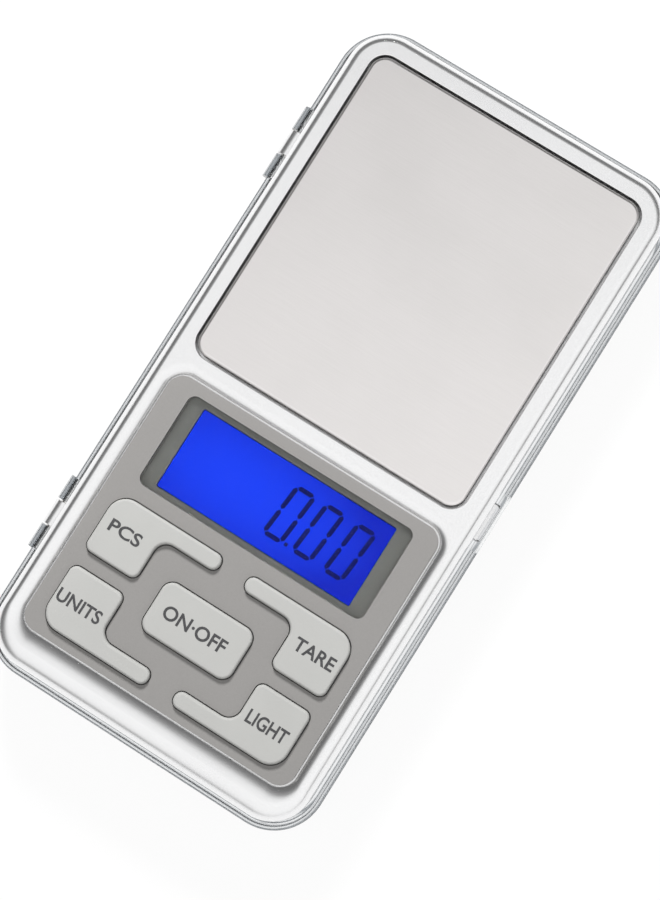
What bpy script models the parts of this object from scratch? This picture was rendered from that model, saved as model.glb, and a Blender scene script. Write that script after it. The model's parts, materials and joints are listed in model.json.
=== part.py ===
"""Digital pocket gram scale, resting in the clear cover that also serves as its stand.

Modelled in world space with the origin under the middle of the cover: +X is the
right-hand side as the display is read, +Y the platform end, +Z up. The sizes below are
in millimetres and the meshes in metres. The case swings on two pins along the cover's
left wall, and the platform, the five keys and the battery door slide inside the case.
"""
import math

import bmesh
import bpy
from mathutils import Matrix, Vector

MM = 0.001

# Clearances
GAP = 0.3             # between pieces that touch
SNUG = 0.15           # between pieces that seat in one another
FACE = 0.1            # between the thin layers of the key and display stack
OVERRUN = 4.0         # how far a cutter runs past the wall that it cuts

# Case, as seen from above
CASE_WIDTH = 59.4
CASE_LENGTH = 121.2
CASE_CORNER = 7.2
CASE_WALL = 1.6
BASE_HEIGHT = 8.2
BASE_FLOOR = 2.0
BASE_EDGE = 2.0       # radius round the underside
SEAM = 0.2            # between base and top
ROLL_DROP = 4.0       # height of the convex roll round the top
ROLL_SIDE = 1.9       # width of that roll along the sides and the rear
ROLL_FRONT = 4.0      # and along the front

# Openings in the top, measured in from the case's edges
RIM_SIDE = 3.7
RIM_REAR = 3.9
RIM_FRONT = 6.1
WELL_LENGTH = 59.1
WELL_CORNER = 3.2
WELL_FLOOR = 1.0
WELL_WALL = 1.2
BRIDGE = 3.2          # strip of the top between platform and keypad
PANEL_CORNER = 3.2
PANEL_RECESS = 0.85
PANEL_THICKNESS = 1.0
LEDGE_WIDTH = 1.0
LEDGE_THICKNESS = 1.0

# Clear cover
COVER_GAP = 0.5
COVER_WALL = 1.3
COVER_FLOOR = 1.2
COVER_HEIGHT = 12.0
COVER_EDGE = 1.6
NOTCH_LENGTH = 10.8
NOTCH_DEPTH = 3.4
NOTCH_CORNER = 1.6
LIP_LENGTH = 7.2
LIP_HEIGHT = 1.6
LIP_REACH = 1.2

# Hinge on the left-hand side
HINGE_SPREAD = 36.6   # from the middle of the case to the middle of each hinge
HINGE_LENGTH = 13.7
HINGE_OFFSET = 1.2    # from the side of the case to the axis
HINGE_DROP = 0.7      # from the top of the cover's wall to the axis
BARREL_RADIUS = 1.6
KNUCKLE_LENGTH = 4.4
POCKET_CLEARANCE = 0.4
PIN_RADIUS = 0.75
WEB_THICKNESS = 1.2

# Feet and the screws above them
CORNER_INSET = 5.75
FOOT_RADIUS = 2.8
FOOT_HEIGHT = 1.4
FOOT_RADIUS_TOP = 2.6
POST_RADIUS = 2.3
CASE_SCREW = {"shank": 0.9, "head": 1.9, "head_height": 1.2, "length": 9.4}
SCREW_RECESS = 0.5

# Batteries and their bay
BATTERY_DIAMETER = 10.5
BATTERY_LENGTH = 43.7
BATTERY_NUB_RADIUS = 1.9
BATTERY_NUB = 0.8
BATTERY_SPACING = 0.5
BAY_INSET = 10.6      # from the front of the case
BAY_MARGIN = 0.55
BAY_WALL = 1.0
BAY_WALL_HEIGHT = 8.4
DOOR_THICKNESS = 1.0
DOOR_LAP = 0.9
DOOR_CORNER = 2.0
DOOR_GRIP_LENGTH = 12.0
DOOR_GRIP_WIDTH = 1.2
DOOR_GRIP_DEPTH = 0.4
CONTACT_THICKNESS = 0.4
CONTACT_ROOM = 2.95   # from a battery's end to its contact plate
SPRING_WIRE = 0.25
SPRING_RADIUS = 2.4
SPRING_TURNS = 3.0

# Circuit board, keys and display
BOARD_HALF_WIDTH = 20.8
BOARD_THICKNESS = 0.8
BOARD_SCREW_X = 17.0
BOARD_POST_RADIUS = 1.3
BOARD_SCREW = {"shank": 0.6, "head": 1.2, "head_height": 0.8, "length": 2.6}
DOME_RADIUS = 3.4
DOME_HEIGHT = 0.4
DOME_SHEET = 0.15
KEY_TRAVEL = 0.6
KEY_RISE = 0.95       # top of a key above the panel
KEY_CLEARANCE = 0.25
KEY_FLANGE = 0.6
KEY_FLANGE_THICKNESS = 0.5
KEY_EDGE = 0.45
KEY_WIDTH = 10.0
KEY_LENGTH = 10.8
KEY_SIDE_MARGIN = 3.1     # from the panel's side to the outer keys
KEY_FRONT_MARGIN = 2.25
KEY_ROW_GAP = 2.9
KEY_TAIL = 2.85           # width of a key's tail
KEY_TAIL_GAP = 2.5        # from the middle of the panel to the end of a tail
KEY_OUTER_CORNER = 3.3
KEY_CORNER = 1.35
KEY_INNER_FILLET = 2.4
POWER_WIDTH = 17.0
POWER_LENGTH = 9.35
POWER_CORNER = 2.0
WINDOW_WIDTH = 43.0
WINDOW_LENGTH = 17.0
WINDOW_MARGIN = 2.3
WINDOW_CORNER = 1.5
WINDOW_THICKNESS = 0.6
WINDOW_SUNK = 0.3
SCREEN_WIDTH = 37.2
SCREEN_LENGTH = 14.9
FRAME_BORDER = 0.8
GLASS_THICKNESS = 0.7
BACKLIGHT_THICKNESS = 0.6

# Platform and load cell
PLATE_GAP = 0.6
PLATE_THICKNESS = 0.5
PLATE_SKIRT = 2.0
PLATE_EDGE = 1.0
PLATFORM_RISE = 0.4   # top of the plate above the rim
PLATFORM_TRAVEL = 0.4
CARRIER_THICKNESS = 1.9
CELL_LENGTH = 47.0
CELL_WIDTH = 12.0
CELL_HEIGHT = 6.0
CELL_EYE_RADIUS = 2.1
CELL_EYE_SPREAD = 5.0
CELL_SLOT = 0.8
CELL_SCREW_NEAR = 14.0
CELL_SCREW_FAR = 20.0
CELL_PAD = 2.45       # height of the pad under the fixed end
CELL_PAD_LENGTH = 12.5
CELL_SCREW = {"shank": 1.2, "head": 2.1, "head_height": 1.1, "length": 8.4}
CELL_SCREW_RECESS = 0.6
POST_LENGTH = 13.0
POST_WIDTH = 10.0
POST_CLEARANCE = 0.8
GAUGE_LENGTH = 14.0
GAUGE_WIDTH = 8.0
GAUGE_THICKNESS = 0.4
RIBBON_WIDTH = 5.0
RIBBON_THICKNESS = 0.5

# Levels, worked out from the cover's floor upwards
BASE_Z = COVER_FLOOR + GAP + FOOT_HEIGHT + FACE
FLOOR_Z = BASE_Z + BASE_FLOOR
SEAM_Z = BASE_Z + BASE_HEIGHT
TOP_Z0 = SEAM_Z + SEAM
DOOR_TOP_Z = BASE_Z + DOOR_THICKNESS
BATTERY_Z = DOOR_TOP_Z + GAP + BATTERY_DIAMETER / 2
BOARD_Z = BATTERY_Z + BATTERY_DIAMETER / 2 + GAP
BOARD_TOP_Z = BOARD_Z + BOARD_THICKNESS
DOME_TOP_Z = BOARD_TOP_Z + FACE + DOME_HEIGHT
PLUNGER_Z = DOME_TOP_Z + KEY_TRAVEL + FACE / 2
FLANGE_TOP_Z = PLUNGER_Z + FACE + KEY_FLANGE_THICKNESS
PANEL_Z = FLANGE_TOP_Z + FACE
PANEL_TOP_Z = PANEL_Z + PANEL_THICKNESS
RIM_Z = PANEL_TOP_Z + PANEL_RECESS
KEY_TOP_Z = PANEL_TOP_Z + KEY_RISE
LEDGE_TOP_Z = PANEL_Z - SNUG
CEILING_Z = LEDGE_TOP_Z - LEDGE_THICKNESS
WINDOW_TOP_Z = PANEL_TOP_Z - WINDOW_SUNK
PLATE_TOP_Z = RIM_Z + PLATFORM_RISE
CARRIER_TOP_Z = PLATE_TOP_Z - PLATE_THICKNESS - FACE
CELL_Z = FLOOR_Z + CELL_PAD + SNUG
CELL_TOP_Z = CELL_Z + CELL_HEIGHT
WELL_CEILING_Z = CELL_TOP_Z + GAUGE_THICKNESS + 2 * FACE
WELL_Z = WELL_CEILING_Z + WELL_FLOOR
HINGE_Z = COVER_HEIGHT - HINGE_DROP

# Outlines as (left, right, front, rear)
CASE = (-CASE_WIDTH / 2, CASE_WIDTH / 2, -CASE_LENGTH / 2, CASE_LENGTH / 2)
WELL = (CASE[0] + RIM_SIDE, CASE[1] - RIM_SIDE, CASE[3] - RIM_REAR - WELL_LENGTH, CASE[3] - RIM_REAR)
PANEL = (WELL[0], WELL[1], CASE[2] + RIM_FRONT, WELL[2] - BRIDGE)
HINGE_X = CASE[0] - HINGE_OFFSET
CELL_Y = (WELL[2] + WELL[3]) / 2
BAY_FRONT = CASE[2] + BAY_INSET
BAY_LENGTH = 2 * BATTERY_DIAMETER + BATTERY_SPACING + 2 * BAY_MARGIN
BAY_HALF = BATTERY_LENGTH / 2 + BATTERY_NUB + BAY_MARGIN
BAY = (-BAY_HALF, BAY_HALF, BAY_FRONT, BAY_FRONT + BAY_LENGTH)
WINDOW = (-WINDOW_WIDTH / 2, WINDOW_WIDTH / 2,
          PANEL[3] - WINDOW_MARGIN - WINDOW_LENGTH, PANEL[3] - WINDOW_MARGIN)
SCREEN_Y = (WINDOW[2] + WINDOW[3]) / 2
SCREEN = (-SCREEN_WIDTH / 2, SCREEN_WIDTH / 2, SCREEN_Y - SCREEN_LENGTH / 2, SCREEN_Y + SCREEN_LENGTH / 2)
BOARD = (-BOARD_HALF_WIDTH, BOARD_HALF_WIDTH,
         CASE[2] + CASE_WALL + 1.1, WELL[2] - WELL_WALL - GAP)
CORNERS = [(x, y) for x in (CASE[0] + CORNER_INSET, CASE[1] - CORNER_INSET)
           for y in (CASE[2] + CORNER_INSET, CASE[3] - CORNER_INSET)]
HINGE = (HINGE_X, 0, HINGE_Z)


# ---------------------------------------------------------------- outlines
def grown(box, amount):
    """The box moved outwards by an amount on every side."""
    return (box[0] - amount, box[1] + amount, box[2] - amount, box[3] + amount)


def filleted(corners, steps=6):
    """Closed outline through corners (x, y, radius), counter-clockwise, with round arcs."""
    outline = []
    for index, (x, y, radius) in enumerate(corners):
        corner = Vector((x, y))
        back = (Vector(corners[index - 1][:2]) - corner).normalized()
        ahead = (Vector(corners[(index + 1) % len(corners)][:2]) - corner).normalized()
        half = back.angle(ahead) / 2
        centre = corner + (back + ahead).normalized() * radius / math.sin(half)
        arm = corner + back * radius / math.tan(half) - centre
        turn = math.pi - 2 * half
        if back.x * ahead.y - back.y * ahead.x > 0:
            turn = -turn
        for step in range(steps + 1):
            point = centre + Matrix.Rotation(turn * step / steps, 2) @ arm
            outline.append((point.x, point.y))
    return outline


def rounded(box, radius, steps=6):
    """A rectangle with round corners."""
    x0, x1, y0, y1 = box
    return filleted([(x1, y1, radius), (x0, y1, radius), (x0, y0, radius), (x1, y0, radius)], steps)


def circle(x, y, radius, sides=24):
    return [(x + radius * math.cos(math.tau * i / sides), y + radius * math.sin(math.tau * i / sides))
            for i in range(sides)]


def offset(outline, amount):
    """An outline moved outwards along its mitres, inwards where the amount is negative."""
    moved = []
    for index, point in enumerate(outline):
        here = Vector(point)
        back = (here - Vector(outline[index - 1])).normalized()
        ahead = (Vector(outline[(index + 1) % len(outline)]) - here).normalized()
        mitre = Vector((back.y + ahead.y, -back.x - ahead.x)).normalized()
        stretch = max(0.5, mitre.dot(Vector((back.y, -back.x))))
        moved.append(tuple(here + mitre * amount / stretch))
    return moved


# ---------------------------------------------------------------- solids
def loft(sections):
    """Closed solid through outlines (outline, z) with equal numbers of points."""
    verts = [(x, y, z) for outline, z in sections for x, y in outline]
    count = len(sections[0][0])
    faces = [tuple(reversed(range(count)))]
    for level in range(len(sections) - 1):
        low = level * count
        for i in range(count):
            j = (i + 1) % count
            faces.append((low + i, low + j, low + count + j, low + count + i))
    faces.append(tuple(range(len(verts) - count, len(verts))))
    return verts, faces


def prism(outline, z0, z1):
    return loft([(outline, z0), (outline, z1)])


def block(box, z0, z1):
    x0, x1, y0, y1 = box
    return prism([(x0, y0), (x1, y0), (x1, y1), (x0, y1)], z0, z1)


def turned(profile, x=0.0, y=0.0, sides=24):
    """Solid of revolution about a vertical axis, from (radius, z) pairs."""
    return loft([(circle(x, y, radius, sides), z) for radius, z in profile])


def rotated(solid, axis, degrees, about=(0, 0, 0)):
    verts, faces = solid
    turn = Matrix.Rotation(math.radians(degrees), 3, axis)
    about = Vector(about)
    return [tuple(turn @ (Vector(v) - about) + about) for v in verts], faces


def moved(solid, by):
    verts, faces = solid
    return [tuple(Vector(v) + Vector(by)) for v in verts], faces


def together(*solids):
    """Solids that don't touch, as one mesh for a single cut or union."""
    verts, faces = [], []
    for solid_verts, solid_faces in solids:
        start = len(verts)
        verts += solid_verts
        faces += [tuple(i + start for i in face) for face in solid_faces]
    return verts, faces


def tube(path, radius, sides=8):
    """Round wire along a path, closed at both ends."""
    points = [Vector(p) for p in path]
    verts, count = [], len(points)
    side = None
    for i, point in enumerate(points):
        ahead = (points[min(i + 1, count - 1)] - points[max(i - 1, 0)]).normalized()
        if side is None:
            side = ahead.orthogonal().normalized()
        side = (side - ahead * side.dot(ahead)).normalized()
        up = ahead.cross(side)
        for k in range(sides):
            angle = math.tau * k / sides
            verts.append(tuple(point + (side * math.cos(angle) + up * math.sin(angle)) * radius))
    faces = [tuple(reversed(range(sides)))]
    for i in range(count - 1):
        for k in range(sides):
            n = (k + 1) % sides
            faces.append((i * sides + k, i * sides + n, (i + 1) * sides + n, (i + 1) * sides + k))
    faces.append(tuple(range((count - 1) * sides, count * sides)))
    return verts, faces


def barrel(y0, y1, radius, sides=24):
    """Cylinder along the hinge axis between two places on it."""
    return moved(rotated(turned([(radius, y0), (radius, y1)], 0, 0, sides), "X", -90), HINGE)


def screw(sizes, x, y, seat_z):
    """Pan-head screw driven upwards, its head below seat_z."""
    head, shank, low = sizes["head"], sizes["shank"], seat_z - sizes["head_height"]
    tip = seat_z + sizes["length"]
    return turned([(head * 0.35, low + sizes["head_height"] * 0.45), (head * 0.35, low), (head * 0.8, low),
                   (head, low + sizes["head_height"] * 0.4), (head, seat_z), (shank, seat_z),
                   (shank, tip - shank), (shank * 0.3, tip)], x, y, 12)


def screw_hole(sizes, x, y, seat_z, floor_z, top_z):
    """Countersunk clearance hole for a screw driven upwards from floor_z."""
    return turned([(sizes["head"] + 2 * FACE, floor_z - OVERRUN),
                   (sizes["head"] + 2 * FACE, seat_z + FACE),
                   (sizes["shank"] + FACE, seat_z + FACE),
                   (sizes["shank"] + FACE, top_z)], x, y, 16)


# ---------------------------------------------------------------- objects
def material(name, colour, roughness, metallic=0.0, transmission=0.0):
    mat = bpy.data.materials.new(name)
    mat.use_nodes = True
    shader = mat.node_tree.nodes["Principled BSDF"]
    shader.inputs["Base Color"].default_value = (*colour, 1)
    shader.inputs["Roughness"].default_value = roughness
    shader.inputs["Metallic"].default_value = metallic
    shader.inputs["Transmission Weight"].default_value = transmission
    mat.diffuse_color = (*colour, 1)
    mat.metallic = metallic
    mat.roughness = roughness
    return mat


def empty(name, place, parent=None):
    holder = bpy.data.objects.new(name, None)
    holder.empty_display_size = 0.005
    bpy.context.scene.collection.objects.link(holder)
    holder.parent = parent
    holder.location = Vector(place) * MM - (parent.location if parent else Vector())
    return holder


def build(name, solid, origin=(0, 0, 0), parent=None, smooth=True):
    """An object whose mesh lies where the solid's millimetres say, with its own origin."""
    verts, faces = solid
    centre = Vector(origin)
    mesh = bpy.data.meshes.new(name)
    mesh.from_pydata([(Vector(v) - centre) * MM for v in verts], [], faces)
    shape = bmesh.new()
    shape.from_mesh(mesh)
    bmesh.ops.recalc_face_normals(shape, faces=shape.faces)
    shape.to_mesh(mesh)
    shape.free()
    if smooth:
        mesh.shade_smooth()
        mesh.set_sharp_from_angle(angle=math.radians(35))
    obj = bpy.data.objects.new(name, mesh)
    bpy.context.scene.collection.objects.link(obj)
    obj.parent = parent
    obj.location = centre * MM - (parent.location if parent else Vector())
    return obj


def part(name, solid, mat, origin=(0, 0, 0), parent=None, smooth=True):
    obj = build(name, solid, origin, parent, smooth)
    own = mat.copy()
    own.name = name
    obj.data.materials.append(own)
    return obj


def combine(target, operation, solid, name):
    """Cut a solid out of a part, or join it on."""
    tool = build(f"{target.name}_{name}", solid)
    tool.hide_render = True
    tool.display_type = "WIRE"
    change = target.modifiers.new(name, "BOOLEAN")
    change.operation = operation
    change.solver = "EXACT"
    change.object = tool


# ---------------------------------------------------------------- cover and hinge
def hinge_places():
    """Middle of each hinge along the case, with its name."""
    return (("front", -HINGE_SPREAD), ("rear", HINGE_SPREAD))


def make_cover(clear, steel):
    outer = grown(CASE, COVER_GAP + COVER_WALL)
    inner = grown(CASE, COVER_GAP)
    radius = CASE_CORNER + COVER_GAP + COVER_WALL
    sections = []
    for step in range(5):
        angle = math.pi / 2 * step / 4
        inset = COVER_EDGE * (1 - math.sin(angle))
        sections.append((rounded(grown(outer, -inset), radius - inset, 8), COVER_EDGE * (1 - math.cos(angle))))
    sections.append((rounded(outer, radius, 8), COVER_HEIGHT))
    sections.append((rounded(inner, radius - COVER_WALL, 8), COVER_HEIGHT))
    sections.append((rounded(inner, radius - COVER_WALL, 8), COVER_FLOOR))
    cover = part("cover_tray", loft(sections), clear)

    ear_solids, hole_solids, gap_solids = [], [], []
    for _, y in hinge_places():
        half, knuckle = HINGE_LENGTH / 2, KNUCKLE_LENGTH / 2 + GAP
        ear_solids += [barrel(y - half, y - knuckle, BARREL_RADIUS), barrel(y + knuckle, y + half, BARREL_RADIUS)]
        hole_solids.append(barrel(y - half - FACE, y + half + FACE, PIN_RADIUS + FACE, 16))
        reach = BARREL_RADIUS + 2 * GAP + FACE
        gap_solids.append(block((HINGE_X - reach, HINGE_X + reach, y - knuckle, y + knuckle),
                                HINGE_Z - reach, COVER_HEIGHT + OVERRUN))
    combine(cover, "UNION", together(*ear_solids), "ears")
    combine(cover, "DIFFERENCE", together(*hole_solids), "pin_holes")
    combine(cover, "DIFFERENCE", together(*gap_solids), "knuckle_gaps")

    half, depth = NOTCH_LENGTH / 2, NOTCH_DEPTH
    notch = filleted([(half, OVERRUN, 0.5), (-half, OVERRUN, 0.5),
                      (-half, -depth, NOTCH_CORNER), (half, -depth, NOTCH_CORNER)])
    notch = rotated(rotated(prism(notch, -OVERRUN, OVERRUN), "X", 90), "Z", 90)
    combine(cover, "DIFFERENCE", moved(notch, (outer[1], 0, COVER_HEIGHT)), "thumb_notch")

    for side, y in hinge_places():
        half = HINGE_LENGTH / 2
        part(f"hinge_pin_{side}", barrel(y - half + FACE, y + half - FACE, PIN_RADIUS, 16), steel,
             origin=(HINGE_X, y, HINGE_Z))


# ---------------------------------------------------------------- case shells
def hinge_pockets():
    """Room in the case for the cover's ears."""
    half = HINGE_LENGTH / 2 + GAP
    return together(*[barrel(y - half, y + half, BARREL_RADIUS + POCKET_CLEARANCE) for _, y in hinge_places()])


def make_base(plastic, hinge):
    sections = []
    for step in range(5):
        angle = math.pi / 2 * step / 4
        inset = BASE_EDGE * (1 - math.sin(angle))
        sections.append((rounded(grown(CASE, -inset), CASE_CORNER - inset),
                         BASE_Z + BASE_EDGE * (1 - math.cos(angle))))
    sections.append((rounded(CASE, CASE_CORNER), SEAM_Z))
    inside = rounded(grown(CASE, -CASE_WALL), CASE_CORNER - CASE_WALL)
    sections += [(inside, SEAM_Z), (inside, FLOOR_Z)]
    base = part("base_case", loft(sections), plastic, origin=HINGE, parent=hinge)

    sunk = FLOOR_Z - GAP
    posts = [turned([(POST_RADIUS, sunk), (POST_RADIUS, SEAM_Z - FACE)], x, y) for x, y in CORNERS]
    inner_face = BATTERY_LENGTH / 2 + BATTERY_NUB + CONTACT_ROOM + CONTACT_THICKNESS + GAP
    outer_face, back = inner_face + BAY_WALL, BAY[3] + GAP
    bay_walls = prism([(-outer_face, BAY[2]), (-inner_face, BAY[2]), (-inner_face, back), (inner_face, back),
                       (inner_face, BAY[2]), (outer_face, BAY[2]),
                       (outer_face, back + BAY_WALL), (-outer_face, back + BAY_WALL)],
                      sunk, FLOOR_Z + BAY_WALL_HEIGHT)
    cell_y = (CELL_Y - CELL_WIDTH / 2, CELL_Y + CELL_WIDTH / 2)
    pad = block((-CELL_LENGTH / 2, -CELL_LENGTH / 2 + CELL_PAD_LENGTH, *cell_y), sunk, FLOOR_Z + CELL_PAD)
    combine(base, "UNION", together(*posts, bay_walls, pad), "posts")
    lip = rounded((CASE[1] - CASE_WALL / 2, CASE[1] + LIP_REACH, -LIP_LENGTH / 2, LIP_LENGTH / 2), 0.7, 4)
    lip_top = SEAM_Z - GAP
    combine(base, "UNION", prism(lip, lip_top - LIP_HEIGHT, lip_top), "thumb_lip")

    screws = [screw_hole(CASE_SCREW, x, y, BASE_Z + SCREW_RECESS + CASE_SCREW["head_height"], BASE_Z, TOP_Z0)
              for x, y in CORNERS]
    screws += [screw_hole(CELL_SCREW, x, CELL_Y, BASE_Z + CELL_SCREW_RECESS + CELL_SCREW["head_height"],
                          BASE_Z, CELL_TOP_Z) for x in (-CELL_SCREW_NEAR, -CELL_SCREW_FAR)]
    combine(base, "DIFFERENCE", together(*screws), "screw_holes")
    lap = grown(BAY, DOOR_LAP + GAP)
    combine(base, "DIFFERENCE", prism(rounded(lap, DOOR_CORNER + GAP), BASE_Z - OVERRUN, DOOR_TOP_Z + SNUG), "door_recess")
    combine(base, "DIFFERENCE", prism(rounded(BAY, 0.6), BASE_Z - OVERRUN, FLOOR_Z + FACE), "battery_opening")
    combine(base, "DIFFERENCE", hinge_pockets(), "hinge_pockets")


def make_top(plastic, hinge):
    sections = [(rounded(CASE, CASE_CORNER, 8), TOP_Z0)]
    start = RIM_Z - ROLL_DROP
    for step in range(9):
        angle = math.pi / 2 * step / 8
        side, front = ROLL_SIDE * (1 - math.cos(angle)), ROLL_FRONT * (1 - math.cos(angle))
        box = (CASE[0] + side, CASE[1] - side, CASE[2] + front, CASE[3] - side)
        sections.append((rounded(box, CASE_CORNER - side, 8), start + ROLL_DROP * math.sin(angle)))
    top = part("top_case", loft(sections), plastic, origin=HINGE, parent=hinge)

    inside = grown(CASE, -CASE_WALL)
    radius = CASE_CORNER - CASE_WALL
    front_room = (inside[0] + FACE, inside[1] - FACE, inside[2] + FACE, WELL[2] - WELL_WALL)
    combine(top, "DIFFERENCE", prism(rounded(inside, radius), TOP_Z0 - OVERRUN, WELL_CEILING_Z), "cavity")
    combine(top, "DIFFERENCE", prism(rounded(front_room, radius), WELL_CEILING_Z - GAP, CEILING_Z), "front_cavity")
    combine(top, "DIFFERENCE", prism(rounded(WELL, WELL_CORNER), WELL_Z, RIM_Z + OVERRUN), "platform_well")
    combine(top, "DIFFERENCE", prism(rounded(PANEL, PANEL_CORNER), LEDGE_TOP_Z, RIM_Z + OVERRUN), "panel_recess")
    combine(top, "DIFFERENCE", prism(rounded(grown(PANEL, -LEDGE_WIDTH), PANEL_CORNER - LEDGE_WIDTH),
                                     CEILING_Z - GAP, RIM_Z), "panel_opening")
    combine(top, "DIFFERENCE", prism(rounded(grown(carrier_post(), POST_CLEARANCE), 1.2),
                                     WELL_CEILING_Z - OVERRUN, WELL_Z + GAP), "post_hole")
    combine(top, "DIFFERENCE", hinge_pockets(), "hinge_pockets")

    posts = []
    for x, y in CORNERS:
        ceiling = CEILING_Z if y < 0 else WELL_CEILING_Z
        posts.append(turned([(POST_RADIUS, TOP_Z0), (POST_RADIUS, ceiling + GAP)], x, y))
    posts += [turned([(BOARD_POST_RADIUS, BOARD_TOP_Z + SNUG), (BOARD_POST_RADIUS, CEILING_Z + GAP)], x, y)
              for x, y in board_screws()]
    combine(top, "UNION", together(*posts), "posts")
    holes = [turned([(CASE_SCREW["shank"] + FACE, TOP_Z0 - GAP),
                     (CASE_SCREW["shank"] + FACE, case_screw_tip() + GAP)], x, y, 16) for x, y in CORNERS]
    holes += [turned([(BOARD_SCREW["shank"] + FACE, BOARD_TOP_Z - GAP),
                      (BOARD_SCREW["shank"] + FACE, board_screw_tip() + FACE)], x, y, 12) for x, y in board_screws()]
    combine(top, "DIFFERENCE", together(*holes), "screw_holes")

    knuckles, webs, holes = [], [], []
    for _, y in hinge_places():
        half = KNUCKLE_LENGTH / 2
        knuckles.append(barrel(y - half, y + half, BARREL_RADIUS))
        webs.append(block((HINGE_X, CASE[0] + CASE_WALL / 2, y - half, y + half),
                          HINGE_Z + BARREL_RADIUS - WEB_THICKNESS, HINGE_Z + BARREL_RADIUS - FACE))
        holes.append(barrel(y - half - FACE, y + half + FACE, PIN_RADIUS + FACE, 16))
    combine(top, "UNION", together(*webs), "webs")
    combine(top, "UNION", together(*knuckles), "knuckles")
    combine(top, "DIFFERENCE", together(*holes), "pin_holes")


# ---------------------------------------------------------------- fasteners and feet
def case_screw_tip():
    return BASE_Z + SCREW_RECESS + CASE_SCREW["head_height"] + CASE_SCREW["length"]


def board_screw_tip():
    return BOARD_Z - FACE + BOARD_SCREW["length"]


def board_screws():
    """Places of the board's screws, under the bridge and under the front rim."""
    rear = WELL[2] - WELL_WALL - GAP - BOARD_POST_RADIUS
    front = PANEL[2] - BOARD_POST_RADIUS - SNUG
    return [(x, y) for x in (-BOARD_SCREW_X, BOARD_SCREW_X) for y in (front, rear)]


def make_fasteners(steel, rubber, hinge):
    for number, (x, y) in enumerate(CORNERS, 1):
        seat = BASE_Z + SCREW_RECESS + CASE_SCREW["head_height"]
        part(f"case_screw_{number}", screw(CASE_SCREW, x, y, seat), steel, origin=(x, y, seat), parent=hinge)
        foot_z = BASE_Z - FACE
        foot = turned([(FOOT_RADIUS_TOP, foot_z - FOOT_HEIGHT), (FOOT_RADIUS, foot_z - FOOT_HEIGHT * 0.75),
                       (FOOT_RADIUS, foot_z)], x, y)
        part(f"rubber_foot_{number}", foot, rubber, origin=(x, y, foot_z), parent=hinge)
    for number, (x, y) in enumerate(board_screws(), 1):
        seat = BOARD_Z - FACE
        part(f"board_screw_{number}", screw(BOARD_SCREW, x, y, seat), steel, origin=(x, y, seat), parent=hinge)


# ---------------------------------------------------------------- keypad and display
def side_key(mirror_x, mirror_y):
    """Corners of an outer key: a block with a tail along its far edge."""
    outer = PANEL[1] - KEY_SIDE_MARGIN
    inner = outer - KEY_WIDTH
    front = PANEL[2] + KEY_FRONT_MARGIN
    low, high = front, front + KEY_LENGTH
    tail = low + KEY_TAIL
    corners = [(outer, low, KEY_OUTER_CORNER), (outer, high, KEY_CORNER), (inner, high, KEY_CORNER),
               (inner, tail, KEY_INNER_FILLET), (KEY_TAIL_GAP, tail, KEY_CORNER), (KEY_TAIL_GAP, low, KEY_CORNER)]
    if mirror_y:
        middle = high + KEY_ROW_GAP / 2
        corners = [(x, 2 * middle - y, r) for x, y, r in reversed(corners)]
    if mirror_x:
        corners = [(-x, y, r) for x, y, r in reversed(corners)]
    return filleted(corners, 4)


def key_layout():
    """Each key's outline and the place under it where it presses."""
    front = PANEL[2] + KEY_FRONT_MARGIN
    middle = front + KEY_LENGTH + KEY_ROW_GAP / 2
    low, high = front + KEY_LENGTH / 2, front + KEY_LENGTH * 1.5 + KEY_ROW_GAP
    column = PANEL[1] - KEY_SIDE_MARGIN - KEY_WIDTH / 2
    power = (-POWER_WIDTH / 2, POWER_WIDTH / 2, middle - POWER_LENGTH / 2, middle + POWER_LENGTH / 2)
    return {"key_pieces": (side_key(True, True), (-column, high)),
            "key_units": (side_key(True, False), (-column, low)),
            "key_power": (rounded(power, POWER_CORNER, 4), (0.0, middle)),
            "key_tare": (side_key(False, True), (column, high)),
            "key_light": (side_key(False, False), (column, low))}


def make_keypad(panel_plastic, key_plastic, steel, hinge):
    plate = rounded(grown(PANEL, -GAP), PANEL_CORNER - GAP)
    panel = part("keypad_panel", prism(plate, PANEL_Z, PANEL_TOP_Z), panel_plastic, origin=HINGE, parent=hinge)
    holes = [prism(rounded(WINDOW, WINDOW_CORNER), PANEL_Z - OVERRUN, PANEL_TOP_Z + OVERRUN)]
    holes += [prism(offset(outline, KEY_CLEARANCE), PANEL_Z - OVERRUN, PANEL_TOP_Z + OVERRUN)
              for outline, _ in key_layout().values()]
    combine(panel, "DIFFERENCE", together(*holes), "key_holes")

    for name, (outline, (x, y)) in key_layout().items():
        flange = offset(outline, KEY_FLANGE)
        bottom = FLANGE_TOP_Z - KEY_FLANGE_THICKNESS
        key = loft([(flange, bottom), (flange, FLANGE_TOP_Z), (outline, FLANGE_TOP_Z),
                    (outline, KEY_TOP_Z - KEY_EDGE), (offset(outline, -KEY_EDGE * 0.3), KEY_TOP_Z - KEY_EDGE * 0.3),
                    (offset(outline, -KEY_EDGE), KEY_TOP_Z)])
        key = part(name, key, key_plastic, origin=(x, y, PLUNGER_Z), parent=hinge)
        combine(key, "UNION", turned([(DOME_RADIUS * 0.6, PLUNGER_Z), (DOME_RADIUS * 0.6, bottom + FACE)], x, y),
                "plunger")
        base = BOARD_TOP_Z + FACE
        profile = [(DOME_RADIUS * math.sin(a), base + DOME_HEIGHT * math.cos(a))
                   for a in (0.15, 0.7, 1.2, math.pi / 2)]
        inner = [(r * 0.94, max(z - DOME_SHEET, base)) for r, z in reversed(profile)]
        part(f"{name}_dome", turned(profile + inner, x, y, 16), steel, origin=(x, y, base), parent=hinge)


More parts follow.
